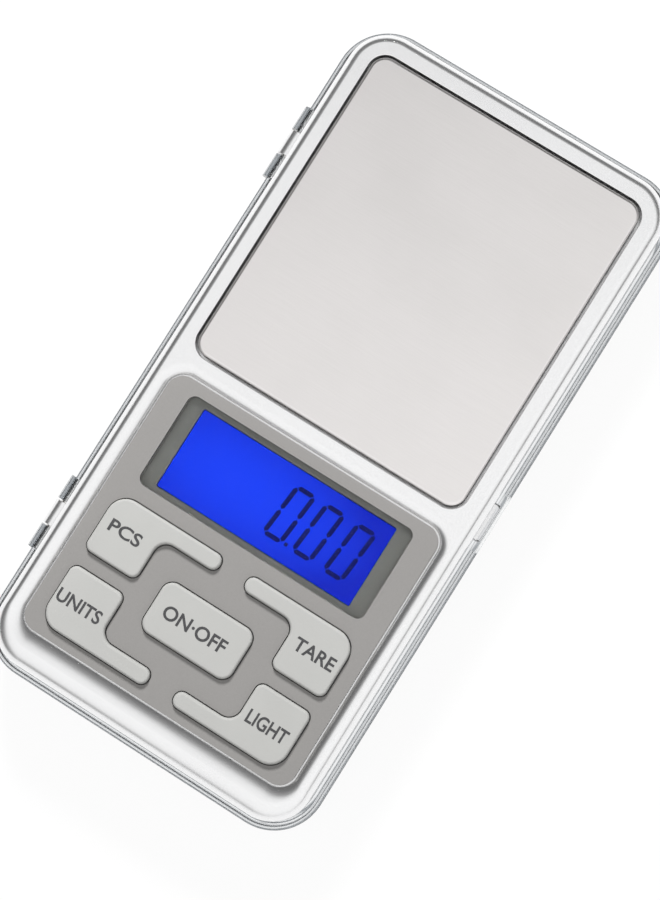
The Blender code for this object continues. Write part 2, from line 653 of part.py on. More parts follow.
def make_display(clear, dark, glass, glow, hinge):
    part("display_window", prism(rounded(grown(WINDOW, -GAP), WINDOW_CORNER - GAP),
                                 WINDOW_TOP_Z - WINDOW_THICKNESS, WINDOW_TOP_Z), clear, origin=HINGE, parent=hinge)
    frame_z = BOARD_TOP_Z + FACE
    frame_top = PANEL_Z - FACE
    frame = part("display_frame", block(grown(WINDOW, FRAME_BORDER), frame_z, frame_top), dark,
                 origin=HINGE, parent=hinge)
    combine(frame, "DIFFERENCE", block(SCREEN, frame_z - OVERRUN, frame_top + OVERRUN), "screen_opening")
    cell = grown(SCREEN, -SNUG)
    glass_top = frame_top - FACE
    part("display_glass", block(cell, glass_top - GLASS_THICKNESS, glass_top), glass, origin=HINGE, parent=hinge)
    part("display_backlight", block(cell, frame_z + FACE, frame_z + FACE + BACKLIGHT_THICKNESS), glow,
         origin=HINGE, parent=hinge)


# ---------------------------------------------------------------- electronics
def make_board(green, black, epoxy, steel, hinge):
    board = part("circuit_board", block(BOARD, BOARD_Z, BOARD_TOP_Z), green, origin=HINGE, parent=hinge)
    holes = [turned([(BOARD_SCREW["shank"] + FACE, BOARD_Z - OVERRUN), (BOARD_SCREW["shank"] + FACE, RIM_Z)],
                    x, y, 16) for x, y in board_screws()]
    combine(board, "DIFFERENCE", together(*holes), "screw_holes")
    under = BOARD_Z - FACE
    y = (BAY[3] + BAY_WALL + BOARD[3]) / 2
    blob = [(4.4 * math.sin(a), under - 1.2 * math.cos(a)) for a in (0.15, 0.7, 1.2, math.pi / 2)]
    part("processor", turned(blob, 0, y), epoxy, origin=(0, y, under), parent=hinge)
    part("converter_chip", block((9.5, 14.5, y - 3, y + 3), under - 1.4, under), black,
         origin=(12, y, under), parent=hinge)
    can = rounded((-15.5, -8.5, y - 1.8, y + 1.8), 1.7, 5)
    part("crystal", prism(can, under - 2.0, under), steel, origin=(-12, y, under), parent=hinge)


def make_batteries(jacket, steel, hinge):
    span = BATTERY_LENGTH / 2
    for number, direction in ((1, 1), (2, -1)):
        y = BAY_FRONT + BAY_MARGIN + BATTERY_DIAMETER / 2 + (number - 1) * (BATTERY_DIAMETER + BATTERY_SPACING)
        radius = BATTERY_DIAMETER / 2
        cell = turned([(radius - 0.5, -span), (radius, -span + 0.5), (radius, span - 0.5), (radius - 0.5, span),
                       (BATTERY_NUB_RADIUS, span), (BATTERY_NUB_RADIUS, span + BATTERY_NUB)])
        cell = moved(rotated(cell, "Y", 90 * direction), (0, y, BATTERY_Z))
        part(f"battery_{number}", cell, jacket, origin=(0, y, BATTERY_Z), parent=hinge)
        flat_end = -direction * (span + BATTERY_NUB + FACE)
        seat = -direction * (span + BATTERY_NUB + CONTACT_ROOM - FACE)
        steps = round(SPRING_TURNS * 12)
        path = []
        for step in range(steps + 1):
            along, angle = step / steps, SPRING_TURNS * math.tau * step / steps
            radius = SPRING_RADIUS * (1 - 0.25 * along)
            start, end = seat + direction * SPRING_WIRE, flat_end - direction * SPRING_WIRE
            path.append((start + (end - start) * along, y + radius * math.cos(angle),
                         BATTERY_Z + radius * math.sin(angle)))
        side = "left" if direction > 0 else "right"
        part(f"contact_spring_{side}", tube(path, SPRING_WIRE, 6), steel, origin=(seat, y, BATTERY_Z), parent=hinge)
    inner = span + BATTERY_NUB + CONTACT_ROOM
    low, high = FLOOR_Z + GAP, FLOOR_Z + BAY_WALL_HEIGHT
    for side, sign in (("left", -1), ("right", 1)):
        x0, x1 = sorted((sign * inner, sign * (inner + CONTACT_THICKNESS)))
        part(f"contact_plate_{side}", block((x0, x1, BAY[2] + BAY_MARGIN, BAY[3] - BAY_MARGIN), low, high), steel,
             origin=(sign * inner, (BAY[2] + BAY[3]) / 2, low), parent=hinge)


def make_door(plastic, hinge):
    box = grown(BAY, DOOR_LAP)
    middle = (box[2] + box[3]) / 2
    door = part("battery_door", prism(rounded(box, DOOR_CORNER), BASE_Z, DOOR_TOP_Z), plastic,
                origin=(0, middle, BASE_Z), parent=hinge)
    grips = [block((-DOOR_GRIP_LENGTH / 2, DOOR_GRIP_LENGTH / 2, y, y + DOOR_GRIP_WIDTH),
                   BASE_Z - GAP, BASE_Z + DOOR_GRIP_DEPTH)
             for y in [box[3] - 2 * DOOR_GRIP_WIDTH * (n + 1) for n in range(3)]]
    combine(door, "DIFFERENCE", together(*grips), "grip")


# ---------------------------------------------------------------- platform and load cell
def carrier_post():
    middle = (CELL_SCREW_NEAR + CELL_SCREW_FAR) / 2
    return (middle - POST_LENGTH / 2, middle + POST_LENGTH / 2, CELL_Y - POST_WIDTH / 2, CELL_Y + POST_WIDTH / 2)


def make_platform(steel, plastic, screw_steel, hinge):
    outline = grown(WELL, -PLATE_GAP)
    radius = WELL_CORNER - PLATE_GAP
    bottom = PLATE_TOP_Z - PLATE_SKIRT
    sections = [(rounded(grown(outline, -PLATE_THICKNESS), radius - PLATE_THICKNESS), bottom),
                (rounded(outline, radius), bottom)]
    for step in range(5):
        angle = math.pi / 2 * step / 4
        inset = PLATE_EDGE * (1 - math.cos(angle))
        sections.append((rounded(grown(outline, -inset), radius - inset),
                         PLATE_TOP_Z - PLATE_EDGE + PLATE_EDGE * math.sin(angle)))
    under = sections.pop(0)
    inside = (under[0], PLATE_TOP_Z - PLATE_THICKNESS)
    plate = loft([inside, under] + sections)
    centre = ((WELL[0] + WELL[1]) / 2, CELL_Y)
    part("platform_plate", plate, steel, origin=(*centre, PLATE_TOP_Z), parent=hinge)

    inner = grown(outline, -PLATE_THICKNESS - GAP)
    carrier_z = CARRIER_TOP_Z - CARRIER_THICKNESS
    carrier = part("platform_carrier", prism(rounded(inner, 1.6), carrier_z, CARRIER_TOP_Z), plastic,
                   origin=(*centre, CARRIER_TOP_Z), parent=hinge)
    post_z = CELL_TOP_Z + SNUG
    combine(carrier, "UNION", prism(rounded(carrier_post(), 1.0), post_z, carrier_z + GAP), "post")
    seat = CELL_Z - SNUG
    tip = seat + CELL_SCREW["length"]
    places = (CELL_SCREW_NEAR, CELL_SCREW_FAR)
    holes = [turned([(CELL_SCREW["shank"] + FACE, post_z - GAP), (CELL_SCREW["shank"] + FACE, tip + GAP)],
                    x, CELL_Y) for x in places]
    combine(carrier, "DIFFERENCE", together(*holes), "screw_holes")
    for number, x in enumerate(places, 1):
        part(f"platform_screw_{number}", screw(CELL_SCREW, x, CELL_Y, seat), screw_steel,
             origin=(x, CELL_Y, seat), parent=hinge)


def make_load_cell(aluminium, silicone, screw_steel, wire, hinge):
    box = (-CELL_LENGTH / 2, CELL_LENGTH / 2, CELL_Y - CELL_WIDTH / 2, CELL_Y + CELL_WIDTH / 2)
    cell = part("load_cell", block(box, CELL_Z, CELL_TOP_Z), aluminium, origin=HINGE, parent=hinge)
    middle = (CELL_Z + CELL_TOP_Z) / 2
    eyes = together(*[turned([(CELL_EYE_RADIUS, -CELL_WIDTH), (CELL_EYE_RADIUS, CELL_WIDTH)], x, 0)
                      for x in (-CELL_EYE_SPREAD, CELL_EYE_SPREAD)])
    slot = block((-CELL_EYE_SPREAD, CELL_EYE_SPREAD, -CELL_SLOT, CELL_SLOT), -CELL_WIDTH, CELL_WIDTH)
    for name, solid in (("eyes", eyes), ("slot", slot)):
        combine(cell, "DIFFERENCE", moved(rotated(solid, "X", 90), (0, CELL_Y, middle)), name)
    places = [sign * x for sign in (-1, 1) for x in (CELL_SCREW_NEAR, CELL_SCREW_FAR)]
    holes = [turned([(CELL_SCREW["shank"] + FACE, CELL_Z - OVERRUN), (CELL_SCREW["shank"] + FACE, RIM_Z)],
                    x, CELL_Y) for x in places]
    combine(cell, "DIFFERENCE", together(*holes), "screw_holes")

    gauge = rounded((-GAUGE_LENGTH / 2, GAUGE_LENGTH / 2, CELL_Y - GAUGE_WIDTH / 2, CELL_Y + GAUGE_WIDTH / 2), 1.5)
    part("gauge_coating", prism(gauge, CELL_TOP_Z + FACE, CELL_TOP_Z + FACE + GAUGE_THICKNESS), silicone,
         origin=(0, CELL_Y, CELL_TOP_Z), parent=hinge)
    seat = BASE_Z + CELL_SCREW_RECESS + CELL_SCREW["head_height"]
    for number, x in enumerate((-CELL_SCREW_NEAR, -CELL_SCREW_FAR), 1):
        part(f"load_cell_screw_{number}", screw(CELL_SCREW, x, CELL_Y, seat), screw_steel,
             origin=(x, CELL_Y, seat), parent=hinge)

    top = CELL_TOP_Z - FACE
    start, end = CELL_Y - CELL_WIDTH / 2 - GAP, BOARD[3] - GAP
    ribbon = [(start, top - RIBBON_THICKNESS), (start, top), (end, top), (end, BOARD_Z - FACE),
              (end - RIBBON_THICKNESS, BOARD_Z - FACE), (end - RIBBON_THICKNESS, top - RIBBON_THICKNESS)]
    ribbon = rotated(rotated(prism(ribbon, 0, RIBBON_WIDTH), "X", 90), "Z", 90)
    part("signal_ribbon", moved(ribbon, (-RIBBON_WIDTH, 0, 0)), wire,
         origin=(0, start, top), parent=hinge, smooth=False)


def main():
    for obj in list(bpy.data.objects):
        bpy.data.objects.remove(obj)
    silver = material("silver_paint", (0.66, 0.67, 0.68), 0.28, 0.85)
    grey = material("panel_grey", (0.35, 0.34, 0.33), 0.5)
    key_grey = material("key_grey", (0.55, 0.55, 0.55), 0.45)
    clear = material("clear_plastic", (0.95, 0.96, 0.97), 0.05, 0.0, 0.9)
    dark = material("dark_grey", (0.09, 0.09, 0.085), 0.45)
    black = material("black_plastic", (0.03, 0.03, 0.03), 0.5)
    steel = material("stainless_steel", (0.75, 0.74, 0.73), 0.3, 1.0)
    aluminium = material("aluminium", (0.7, 0.71, 0.72), 0.35, 1.0)
    rubber = material("black_rubber", (0.02, 0.02, 0.02), 0.8)
    green = material("board_green", (0.02, 0.16, 0.06), 0.4)
    blue = material("display_blue", (0.01, 0.04, 0.85), 0.2)
    glow = material("backlight_blue", (0.05, 0.15, 0.9), 0.4)
    white = material("white_silicone", (0.8, 0.8, 0.78), 0.6)
    jacket = material("battery_jacket", (0.05, 0.05, 0.06), 0.3)

    make_cover(clear, steel)
    hinge = empty("case_hinge", HINGE)
    make_base(silver, hinge)
    make_top(silver, hinge)
    make_fasteners(steel, rubber, hinge)
    make_keypad(grey, key_grey, steel, hinge)
    make_display(clear, dark, blue, glow, hinge)
    make_board(green, black, black, steel, hinge)
    make_batteries(jacket, steel, hinge)
    make_door(silver, hinge)
    make_platform(steel, black, steel, hinge)
    make_load_cell(aluminium, white, steel, black, hinge)


main()
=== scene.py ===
"""Digital pocket gram scale, closed over its clear cover: every surface that shows, and all finishes.

A piece is modelled in millimetres, from the sizes of the frame's own parts, and brought to
metres when it is finished. +X is the right-hand side as the display is read, +Y the
platform end and +Z up.
"""
import json
import math

import bmesh
import bpy
from mathutils import Matrix, Vector


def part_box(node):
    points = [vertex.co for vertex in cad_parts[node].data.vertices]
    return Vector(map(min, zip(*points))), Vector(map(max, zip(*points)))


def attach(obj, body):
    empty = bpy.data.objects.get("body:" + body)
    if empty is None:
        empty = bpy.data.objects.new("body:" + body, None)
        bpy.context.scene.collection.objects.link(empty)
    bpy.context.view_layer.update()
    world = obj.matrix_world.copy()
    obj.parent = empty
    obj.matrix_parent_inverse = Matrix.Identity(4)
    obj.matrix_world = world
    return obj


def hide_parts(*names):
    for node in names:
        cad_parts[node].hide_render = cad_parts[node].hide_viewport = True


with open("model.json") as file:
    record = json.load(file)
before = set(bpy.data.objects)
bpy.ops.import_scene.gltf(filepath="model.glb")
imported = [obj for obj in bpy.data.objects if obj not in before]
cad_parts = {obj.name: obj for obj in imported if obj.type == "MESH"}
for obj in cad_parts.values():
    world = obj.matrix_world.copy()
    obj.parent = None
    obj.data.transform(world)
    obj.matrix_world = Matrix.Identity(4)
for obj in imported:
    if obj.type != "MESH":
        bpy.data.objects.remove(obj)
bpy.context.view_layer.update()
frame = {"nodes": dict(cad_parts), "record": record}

bpy.ops.object.select_all(action="DESELECT")

MM = 0.001


def size_of(node):
    """A node's box in millimetres: x0, x1, y0, y1, z0, z1."""
    low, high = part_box(node)
    return [value / MM for pair in zip(low, high) for value in pair]


def outline_of(node):
    return size_of(node)[:4]


def grown(box, amount):
    """A box (x0, x1, y0, y1) moved outwards by an amount on every side."""
    return (box[0] - amount, box[1] + amount, box[2] - amount, box[3] + amount)


def even_sided(node):
    """A node's box, with its right-hand side also for the left, where the hinge stands out."""
    box = outline_of(node)
    return (-box[1], box[1], box[2], box[3])


# Sizes that the frame gives
COVER = even_sided("cover_tray")
COVER_HEIGHT = size_of("cover_tray")[5]
CASE = even_sided("top_case")
SEAM_Z, RIM_Z = size_of("top_case")[4:]
BASE_Z = size_of("base_case")[4]
PLATE = outline_of("platform_plate")
PLATE_Z, PLATE_TOP_Z = size_of("platform_plate")[4:]
PANEL = outline_of("keypad_panel")
PANEL_Z, PANEL_TOP_Z = size_of("keypad_panel")[4:]
WINDOW = outline_of("display_window")
SCREEN = outline_of("display_glass")
GLASS_Z, GLASS_TOP_Z = size_of("display_glass")[4:]
KEY_Z, KEY_TOP_Z = size_of("key_power")[4:]
DOOR = outline_of("battery_door")
DOOR_Z, DOOR_TOP_Z = size_of("battery_door")[4:]
PIN = size_of("hinge_pin_front")
HINGE_X, HINGE_Z = (PIN[0] + PIN[1]) / 2, (PIN[4] + PIN[5]) / 2
PIN_RADIUS = (PIN[1] - PIN[0]) / 2
HINGE_Y = [-(PIN[2] + PIN[3]) / 2, (PIN[2] + PIN[3]) / 2]
HINGE_HALF = (PIN[3] - PIN[2]) / 2 + 0.1

# Cover: walls, rim and thumb notch
COVER_WALL = 1.3
COVER_FLOOR = 1.2
COVER_RIM = 0.75
COVER_ROUND = 0.5
COVER_INNER_ROUND = 0.2
COVER_STEP = 0.9
COVER_STEP_ROUND = 0.25
COVER_FILLET = 0.5
COVER_CORNER = 9.0
COVER_EDGE = 1.6
NOTCH_HALF = 5.4
NOTCH_DEPTH = 3.4
NOTCH_CORNER = 1.6

# Hinges
BARREL_RADIUS = 1.6
POCKET_RADIUS = 2.0
POCKET_END = 0.3
KNUCKLE_HALF = 2.2
KNUCKLE_GAP = 0.3
PIN_CLEARANCE = 0.1
PIN_EDGE = 0.15
GAP_REACH = 0.7
WEB_HEIGHT = 1.1

# Upper case
CASE_CORNER = 7.2
CASE_WALL = 1.6
SEAM_STRIP = 0.25
SEAM_EDGE = 0.15
ROLL_DROP = 3.0
ROLL_SIDE = 1.9
ROLL_FRONT = 4.0
WELL_GAP = 0.4
WELL_CORNER = 3.2
WELL_WALL = 1.2
WELL_Z = 15.2
WELL_CEILING_Z = 14.2
PANEL_GAP = 0.3
PANEL_CORNER = 2.9
PANEL_EDGE = 0.06
LEDGE_TOP_Z = PANEL_Z - 0.15
LEDGE_WIDTH = 1.0
CEILING_Z = LEDGE_TOP_Z - 1.0
WELL_LIP = {"width": 0.15, "drop": 0.1}
RECESS_LIP = {"width": 1.7, "drop": 0.85, "front": 1.8}

# Lower case, its thumb lip and its door
BASE_EDGE = 2.0
BASE_FLOOR = 2.0
BASE_RIM_Z = SEAM_Z - 0.2
TONGUE_GAP = 0.1
TONGUE_HEIGHT = 1.3
TONGUE_WALL = 0.8
POST_RADIUS = 2.3
CELL_PAD_LENGTH = 12.5
LIP_TOP_Z = BASE_RIM_Z - 0.1
LIP_HALF = 3.6
LIP_HEIGHT = 1.6
LIP_CORNER = 0.7
LIP_EDGE = 0.4
DOOR_CORNER = 2.0
DOOR_GAP = 0.3
DOOR_LAP = 0.9
DOOR_EDGE = 0.2
GRIP_HALF = 6.0
GRIP_WIDTH = 1.2
GRIP_DEPTH = 0.4
FOOT_EDGE = 0.3
FOOT_RING = 0.9
FOOT_DIMPLE = 0.12

# Keys, window and plate
KEY_GAP = 0.2
KEY_FLANGE = 0.6
KEY_FLANGE_THICKNESS = 0.5
KEY_FLANGE_TOP_Z = PANEL_Z - 0.1
KEY_EDGE = 0.5
PLUNGER_RADIUS = 2.04
WINDOW_GAP = 0.3
PLATE_SHEET = 0.5
PLATE_EDGE = 0.6

OVERRUN = 4.0
OVERLAP = 0.3


# ---------------------------------------------------------------- modelling
def leave():
    """Leaves edit mode, so that the next primitive is an object of its own."""
    if bpy.context.object and bpy.context.object.mode == "EDIT":
        bpy.ops.object.mode_set(mode="OBJECT")


def alone(obj):
    """Object mode, with one object active and selected."""
    leave()
    bpy.ops.object.select_all(action="DESELECT")
    obj.select_set(True)
    bpy.context.view_layer.objects.active = obj
    return obj


def edit(obj):
    alone(obj)
    bpy.ops.object.mode_set(mode="EDIT")
    bpy.ops.mesh.select_all(action="DESELECT")


def pick(kind, test):
    """Selects the faces, edges or vertices whose middle passes a test, in edit mode."""
    bpy.ops.mesh.select_mode(type=kind)
    bpy.ops.mesh.select_all(action="DESELECT")
    mesh = bpy.context.object.data
    shape = bmesh.from_edit_mesh(mesh)
    items = {"VERT": shape.verts, "EDGE": shape.edges, "FACE": shape.faces}[kind]
    for item in items:
        points = [item.co] if kind == "VERT" else [v.co for v in item.verts]
        if test(sum(points, Vector()) / len(points), item):
            item.select_set(True)
    shape.select_flush_mode()
    bmesh.update_edit_mesh(mesh)


def rounded_sheet(name, box, z, radius, steps=16):
    """A flat face with round corners, in edit mode and selected."""
    x0, x1, y0, y1 = box
    leave()
    bpy.ops.mesh.primitive_plane_add(size=1, location=((x0 + x1) / 2, (y0 + y1) / 2, z))
    obj = bpy.context.object
    obj.name = name
    obj.scale = (x1 - x0, y1 - y0, 1)
    bpy.ops.object.transform_apply(location=True, rotation=True, scale=True)
    edit(obj)
    bpy.ops.mesh.select_all(action="SELECT")
    if radius:
        round_corners(radius, steps)
    bpy.ops.mesh.select_all(action="SELECT")
    return obj


def round_corners(radius, steps=16):
    bpy.ops.mesh.bevel(offset=radius, segments=steps, profile=0.5, affect="VERTICES")


def extrude(height):
    bpy.ops.mesh.extrude_region_move(TRANSFORM_OT_translate={"value": (0, 0, height)})


def inset(width, rise=0.0):
    bpy.ops.mesh.inset(thickness=width, depth=rise)


def round_edges(test, radius, steps=6):
    """Rounds the edges that turn a corner and whose middle passes a test."""
    pick("EDGE", lambda middle, item: test(middle, item) and item.calc_face_angle(0.0) > 0.3)
    bpy.ops.mesh.bevel(offset=radius, segments=steps, profile=0.5, affect="EDGES", clamp_overlap=True)


def level(z, margin=0.003):
    """Picks what lies flat at a height."""
    return lambda middle, item: all(abs(v.co.z - z) < margin for v in getattr(item, "verts", [])) and \
        abs(middle.z - z) < margin


def prism(name, box, z0, z1, radius, steps=16):
    """An upright block with round corners, in edit mode."""
    obj = rounded_sheet(name, box, z0, radius, steps)
    extrude(z1 - z0)
    outwards()
    return obj


def outwards():
    bpy.ops.mesh.select_mode(type="FACE")
    bpy.ops.mesh.select_all(action="SELECT")
    bpy.ops.mesh.normals_make_consistent(inside=False)


def draw_in(width, rise, z, front=0.0, middle_y=0.0):
    """Draws the selected face in, and up to a height z, with its front edge drawn in further."""
    inset(width, rise)
    if front:
        pick("VERT", lambda middle, item: abs(middle.z - z) < 0.001 and middle.y < middle_y)
        bpy.ops.transform.translate(value=(0, front, 0))
        pick("FACE", level(z, 0.001))


def lipped_cutter(box, radius, z_low, z_rim, width, drop, front=0.0, rings=12):
    """A cutter for an opening with a lip that curves down into it, width wide and drop deep.
    The lip is wider in front."""
    middle_y = (box[2] + box[3]) / 2
    wide = grown(box, width)
    wide = (wide[0], wide[1], wide[2] - front, wide[3])
    obj = rounded_sheet("cutter", wide, z_rim + OVERRUN, radius + width)
    bpy.ops.mesh.flip_normals()
    extrude(-OVERRUN)
    bend = 2 * math.atan(drop / width)
    before = (0.0, 0.0)
    for ring in range(1, rings + 1):
        angle = bend * ring / rings
        share = math.sin(angle) / math.sin(bend), (1 - math.cos(angle)) / (1 - math.cos(bend))
        along, deep = share[0] - before[0], share[1] - before[1]
        draw_in(width * along, drop * deep, z_rim - drop * share[1], front * along, middle_y)
        before = share
    extrude(z_low - (z_rim - drop))
    outwards()
    return obj


def barrel(name, y0, y1, radius, sides=48):
    """A cylinder on the hinge axis."""
    leave()
    bpy.ops.mesh.primitive_cylinder_add(vertices=sides, radius=radius, depth=y1 - y0,
                                        location=(HINGE_X, (y0 + y1) / 2, HINGE_Z),
                                        rotation=(math.pi / 2, 0, 0))
    obj = bpy.context.object
    obj.name = name
    bpy.ops.object.transform_apply(location=True, rotation=True, scale=True)
    return obj


def post(name, x, y, z0, z1, radius, sides=48):
    """An upright cylinder."""
    leave()
    bpy.ops.mesh.primitive_cylinder_add(vertices=sides, radius=radius, depth=z1 - z0,
                                        location=(x, y, (z0 + z1) / 2))
    obj = bpy.context.object
    obj.name = name
    bpy.ops.object.transform_apply(location=True, rotation=True, scale=True)
    return obj


def pin_hole(y, half):
    return barrel("pin_hole", y - half - 0.1, y + half + 0.1, PIN_RADIUS + PIN_CLEARANCE, 32)


def joined(objects):
    """Several pieces as one mesh."""
    alone(objects[0])
    for obj in objects:
        obj.select_set(True)
    if len(objects) > 1:
        bpy.ops.object.join()
    return bpy.context.object


def combine(obj, tools, operation):
    """Cuts tools out of a piece, or joins them on, and removes them."""
    tool = joined(tools)
    alone(obj)
    change = obj.modifiers.new("combine", "BOOLEAN")
    change.operation = operation
    change.solver = "EXACT"
    change.object = tool
    bpy.ops.object.modifier_apply(modifier=change.name)
    bpy.data.objects.remove(tool)


def cut(obj, *tools):
    combine(obj, list(tools), "DIFFERENCE")


def unite(obj, *tools):
    combine(obj, list(tools), "UNION")


def finish_piece(obj, body, finish, nodes=(), smooth=32):
    """Brings a piece to metres, shades it, gives it its body and finish, and hides the frame's nodes that
    it replaces.
    """
    alone(obj)
    obj.scale = (MM, MM, MM)
    bpy.ops.object.transform_apply(location=True, rotation=True, scale=True)
    bpy.ops.object.shade_smooth_by_angle(angle=math.radians(smooth))
    even = obj.modifiers.new("even_shading", "WEIGHTED_NORMAL")
    even.keep_sharp = True
    bpy.ops.object.modifier_apply(modifier=even.name)
    obj.data.name = obj.name
    obj.data.materials.clear()
    obj.data.materials.append(finish)
    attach(obj, body)
    if nodes:
        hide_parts(*nodes)
    bpy.ops.object.select_all(action="DESELECT")
    return obj


# ---------------------------------------------------------------- finishes
class Value:
    """A node's output, on which shader maths is written as Python."""

    def __init__(self, finish, socket):
        self.finish, self.socket = finish, socket

    def __add__(self, other):
        return self.finish.maths("ADD", self, other)

    def __sub__(self, other):
        return self.finish.maths("SUBTRACT", self, other)

    def __rsub__(self, other):
        return self.finish.maths("SUBTRACT", other, self)

    def __mul__(self, other):
        return self.finish.maths("MULTIPLY", self, other)

    __radd__, __rmul__ = __add__, __mul__


class Finish:
    """A surface finish: one shader, its constants, and the patterns that drive it."""

    def __init__(self, name, **constants):
        self.material = bpy.data.materials.new(name)
        self.material.use_nodes = True
        self.tree = self.material.node_tree
        self.shader = self.tree.nodes["Principled BSDF"]
        for socket, value in constants.items():
            self.shader.inputs[socket.replace("_", " ")].default_value = value
        self.place = self.node("ShaderNodeTexCoord", output="Object")

    def node(self, kind, settings=None, values=None, output=0):
        """Any node, with its settings first and then its sockets' values or links."""
        node = self.tree.nodes.new(kind)
        for key, value in (settings or {}).items():
            if key == "stops":
                while len(node.color_ramp.elements) < len(value):
                    node.color_ramp.elements.new(0.5)
                for stop, (position, colour) in zip(node.color_ramp.elements, value):
                    stop.position, stop.color = position, (*colour, 1)
            else:
                setattr(node, key, value)
        for key, value in (values or {}).items():
            if isinstance(value, Value):
                self.tree.links.new(value.socket, node.inputs[key])
            else:
                node.inputs[key].default_value = value
        return Value(self, node.outputs[output])

    def maths(self, operation, a, b):
        return self.node("ShaderNodeMath", {"operation": operation}, {0: a, 1: b})

    def noise(self, scale, stretch=(1, 1, 1), detail=2.0, rough=0.5):
        """Cloudy noise from 0 to 1, in features per metre."""
        place = self.node("ShaderNodeMapping", None, {"Vector": self.place, "Scale": stretch})
        return self.node("ShaderNodeTexNoise", None,
                         {"Vector": place, "Scale": scale, "Detail": detail, "Roughness": rough})

    def span(self, value, low, high, start=0.0, end=1.0):
        """A value's stretch from low to high, spread over start to end."""
        return self.node("ShaderNodeMapRange", {"clamp": True},
                         {"Value": value, "From Min": low, "From Max": high,
                          "To Min": start, "To Max": end})

    def blend(self, factor, a, b):
        """One colour over another."""
        colours = {0: factor}
        for key, colour in ((6, a), (7, b)):
            colours[key] = colour if isinstance(colour, Value) else (*colour, 1)
        return self.node("ShaderNodeMix", {"data_type": "RGBA"}, colours, 2)

    def axis(self, name):
        """One coordinate of the place, in metres."""
        return self.node("ShaderNodeSeparateXYZ", None, {0: self.place}, name)

    def bump(self, height, distance, strength=1.0):
        self.set("Normal", self.node("ShaderNodeBump", None,
                                     {"Strength": strength, "Distance": distance, "Height": height}))

    def set(self, socket, value):
        self.tree.links.new(value.socket, self.shader.inputs[socket])


def silver_coat():
    """Silver lacquer over moulded plastic: fine flake, a trace of orange peel, faint handling marks."""
    finish = Finish("silver_coat", Metallic=0.95, Coat_Weight=0.25, Coat_Roughness=0.08)
    cloud = finish.noise(60, detail=3)
    flake = finish.noise(6500, detail=1)
    rubbed = finish.span(finish.noise(25, (1, 1, 2), 4, 0.6), 0.5, 0.75)
    sparkle = finish.span(flake, 0.3, 0.7)
    finish.set("Base Color", finish.blend(sparkle, (0.84, 0.84, 0.845), (0.92, 0.92, 0.925)))
    finish.set("Roughness", 0.2 + cloud * 0.05 + rubbed * 0.05 + flake * 0.04)
    finish.bump(finish.noise(700, detail=1) + flake * 0.2, 0.000006)
    return finish.material


def clear_moulding():
    """Polished clear polystyrene with flow lines and hairline scuffs, with painted shade darkening its
    rounded edges and its walls where they are seen edge-on.
    """
    finish = Finish("clear_moulding", IOR=1.5, Transmission_Weight=1.0)
    scuffs = finish.span(finish.noise(500, (1, 0.06, 1), 3, 0.6), 0.62, 0.75)
    # Painted shade: the base colour goes grey where the walls are seen edge-on, and dark on the rounded
    # rim, step and foot edges, standing in for the dark lines that refraction draws there.
    painted_edge_on_shade = finish.node("ShaderNodeLayerWeight", None, {"Blend": 0.5}, "Facing")
    z = finish.axis("Z") * (1 / MM)
    edges = 0
    step_z = COVER_HEIGHT - COVER_STEP
    for low, high in ((COVER_HEIGHT - COVER_ROUND - 0.15, COVER_HEIGHT - 0.02),
                      (step_z - COVER_STEP_ROUND, step_z - 0.01), (0.02, 1.0)):
        edges = edges + finish.span(z, low, low + 0.1) * finish.span(z, high - 0.02, high, 1.0, 0.0)
    body = finish.blend(finish.noise(40), (0.86, 0.875, 0.885), (0.90, 0.91, 0.92))
    body = finish.blend(painted_edge_on_shade, body, (0.40, 0.42, 0.44))
    finish.set("Base Color", finish.blend(edges, body, (0.16, 0.175, 0.19)))
    finish.set("Roughness", 0.015 + scuffs * 0.08)
    finish.bump(finish.noise(90, (1, 0.3, 1), 1), 0.00003)
    return finish.material


def window_pane():
    """Thin clear window, with so little gloss that the display reads through it."""
    finish = Finish("window_pane", IOR=1.06, Transmission_Weight=1.0)
    finish.set("Base Color", finish.blend(finish.noise(60), (0.96, 0.97, 0.97), (1.0, 1.0, 1.0)))
    finish.set("Roughness", 0.02 + finish.span(finish.noise(300, (1, 0.1, 1), 3), 0.6, 0.8) * 0.05)
    return finish.material


def brushed_plate():
    """Stainless sheet with a fine satin brush along its width and faint finger smudges."""
    finish = Finish("brushed_plate", Metallic=1.0)
    streak = finish.noise(180, (1, 60, 1), 5, 0.7)
    fine = finish.noise(900, (1, 12, 1), 2, 0.6)
    smudge = finish.span(finish.noise(45, detail=4, rough=0.6), 0.45, 0.75)
    tone = finish.blend(finish.span(streak, 0.3, 0.7), (0.84, 0.815, 0.805), (0.89, 0.865, 0.855))
    finish.set("Base Color", finish.blend(smudge * 0.15, tone, (0.86, 0.84, 0.82)))
    finish.set("Roughness", 0.30 + streak * 0.06 + smudge * 0.04)
    finish.bump(streak * 0.7 + fine * 0.3, 0.000004)
    return finish.material


def panel_film():
    """Matt grey film with a fine even grain."""
    finish = Finish("panel_film", Specular_IOR_Level=0.35)
    grain = finish.noise(3500, detail=2)
    cloud = finish.noise(50, detail=3)
    tone = grain * 0.6 + cloud * 0.4
    finish.set("Base Color", finish.blend(tone, (0.205, 0.199, 0.193), (0.245, 0.238, 0.231)))
    finish.set("Roughness", 0.42 + grain * 0.12)
    finish.bump(grain, 0.00001)
    return finish.material


def key_resin():
    """Light grey moulded key, satin, a little polished where fingers rub it."""
    finish = Finish("key_resin", Specular_IOR_Level=0.45)
    grain = finish.noise(2600, detail=2)
    cloud = finish.noise(120, detail=3)
    finish.set("Base Color", finish.blend(cloud, (0.355, 0.355, 0.343), (0.395, 0.395, 0.383)))
    finish.set("Roughness", 0.38 + grain * 0.1 + cloud * 0.08)
    finish.bump(grain, 0.000012)
    return finish.material


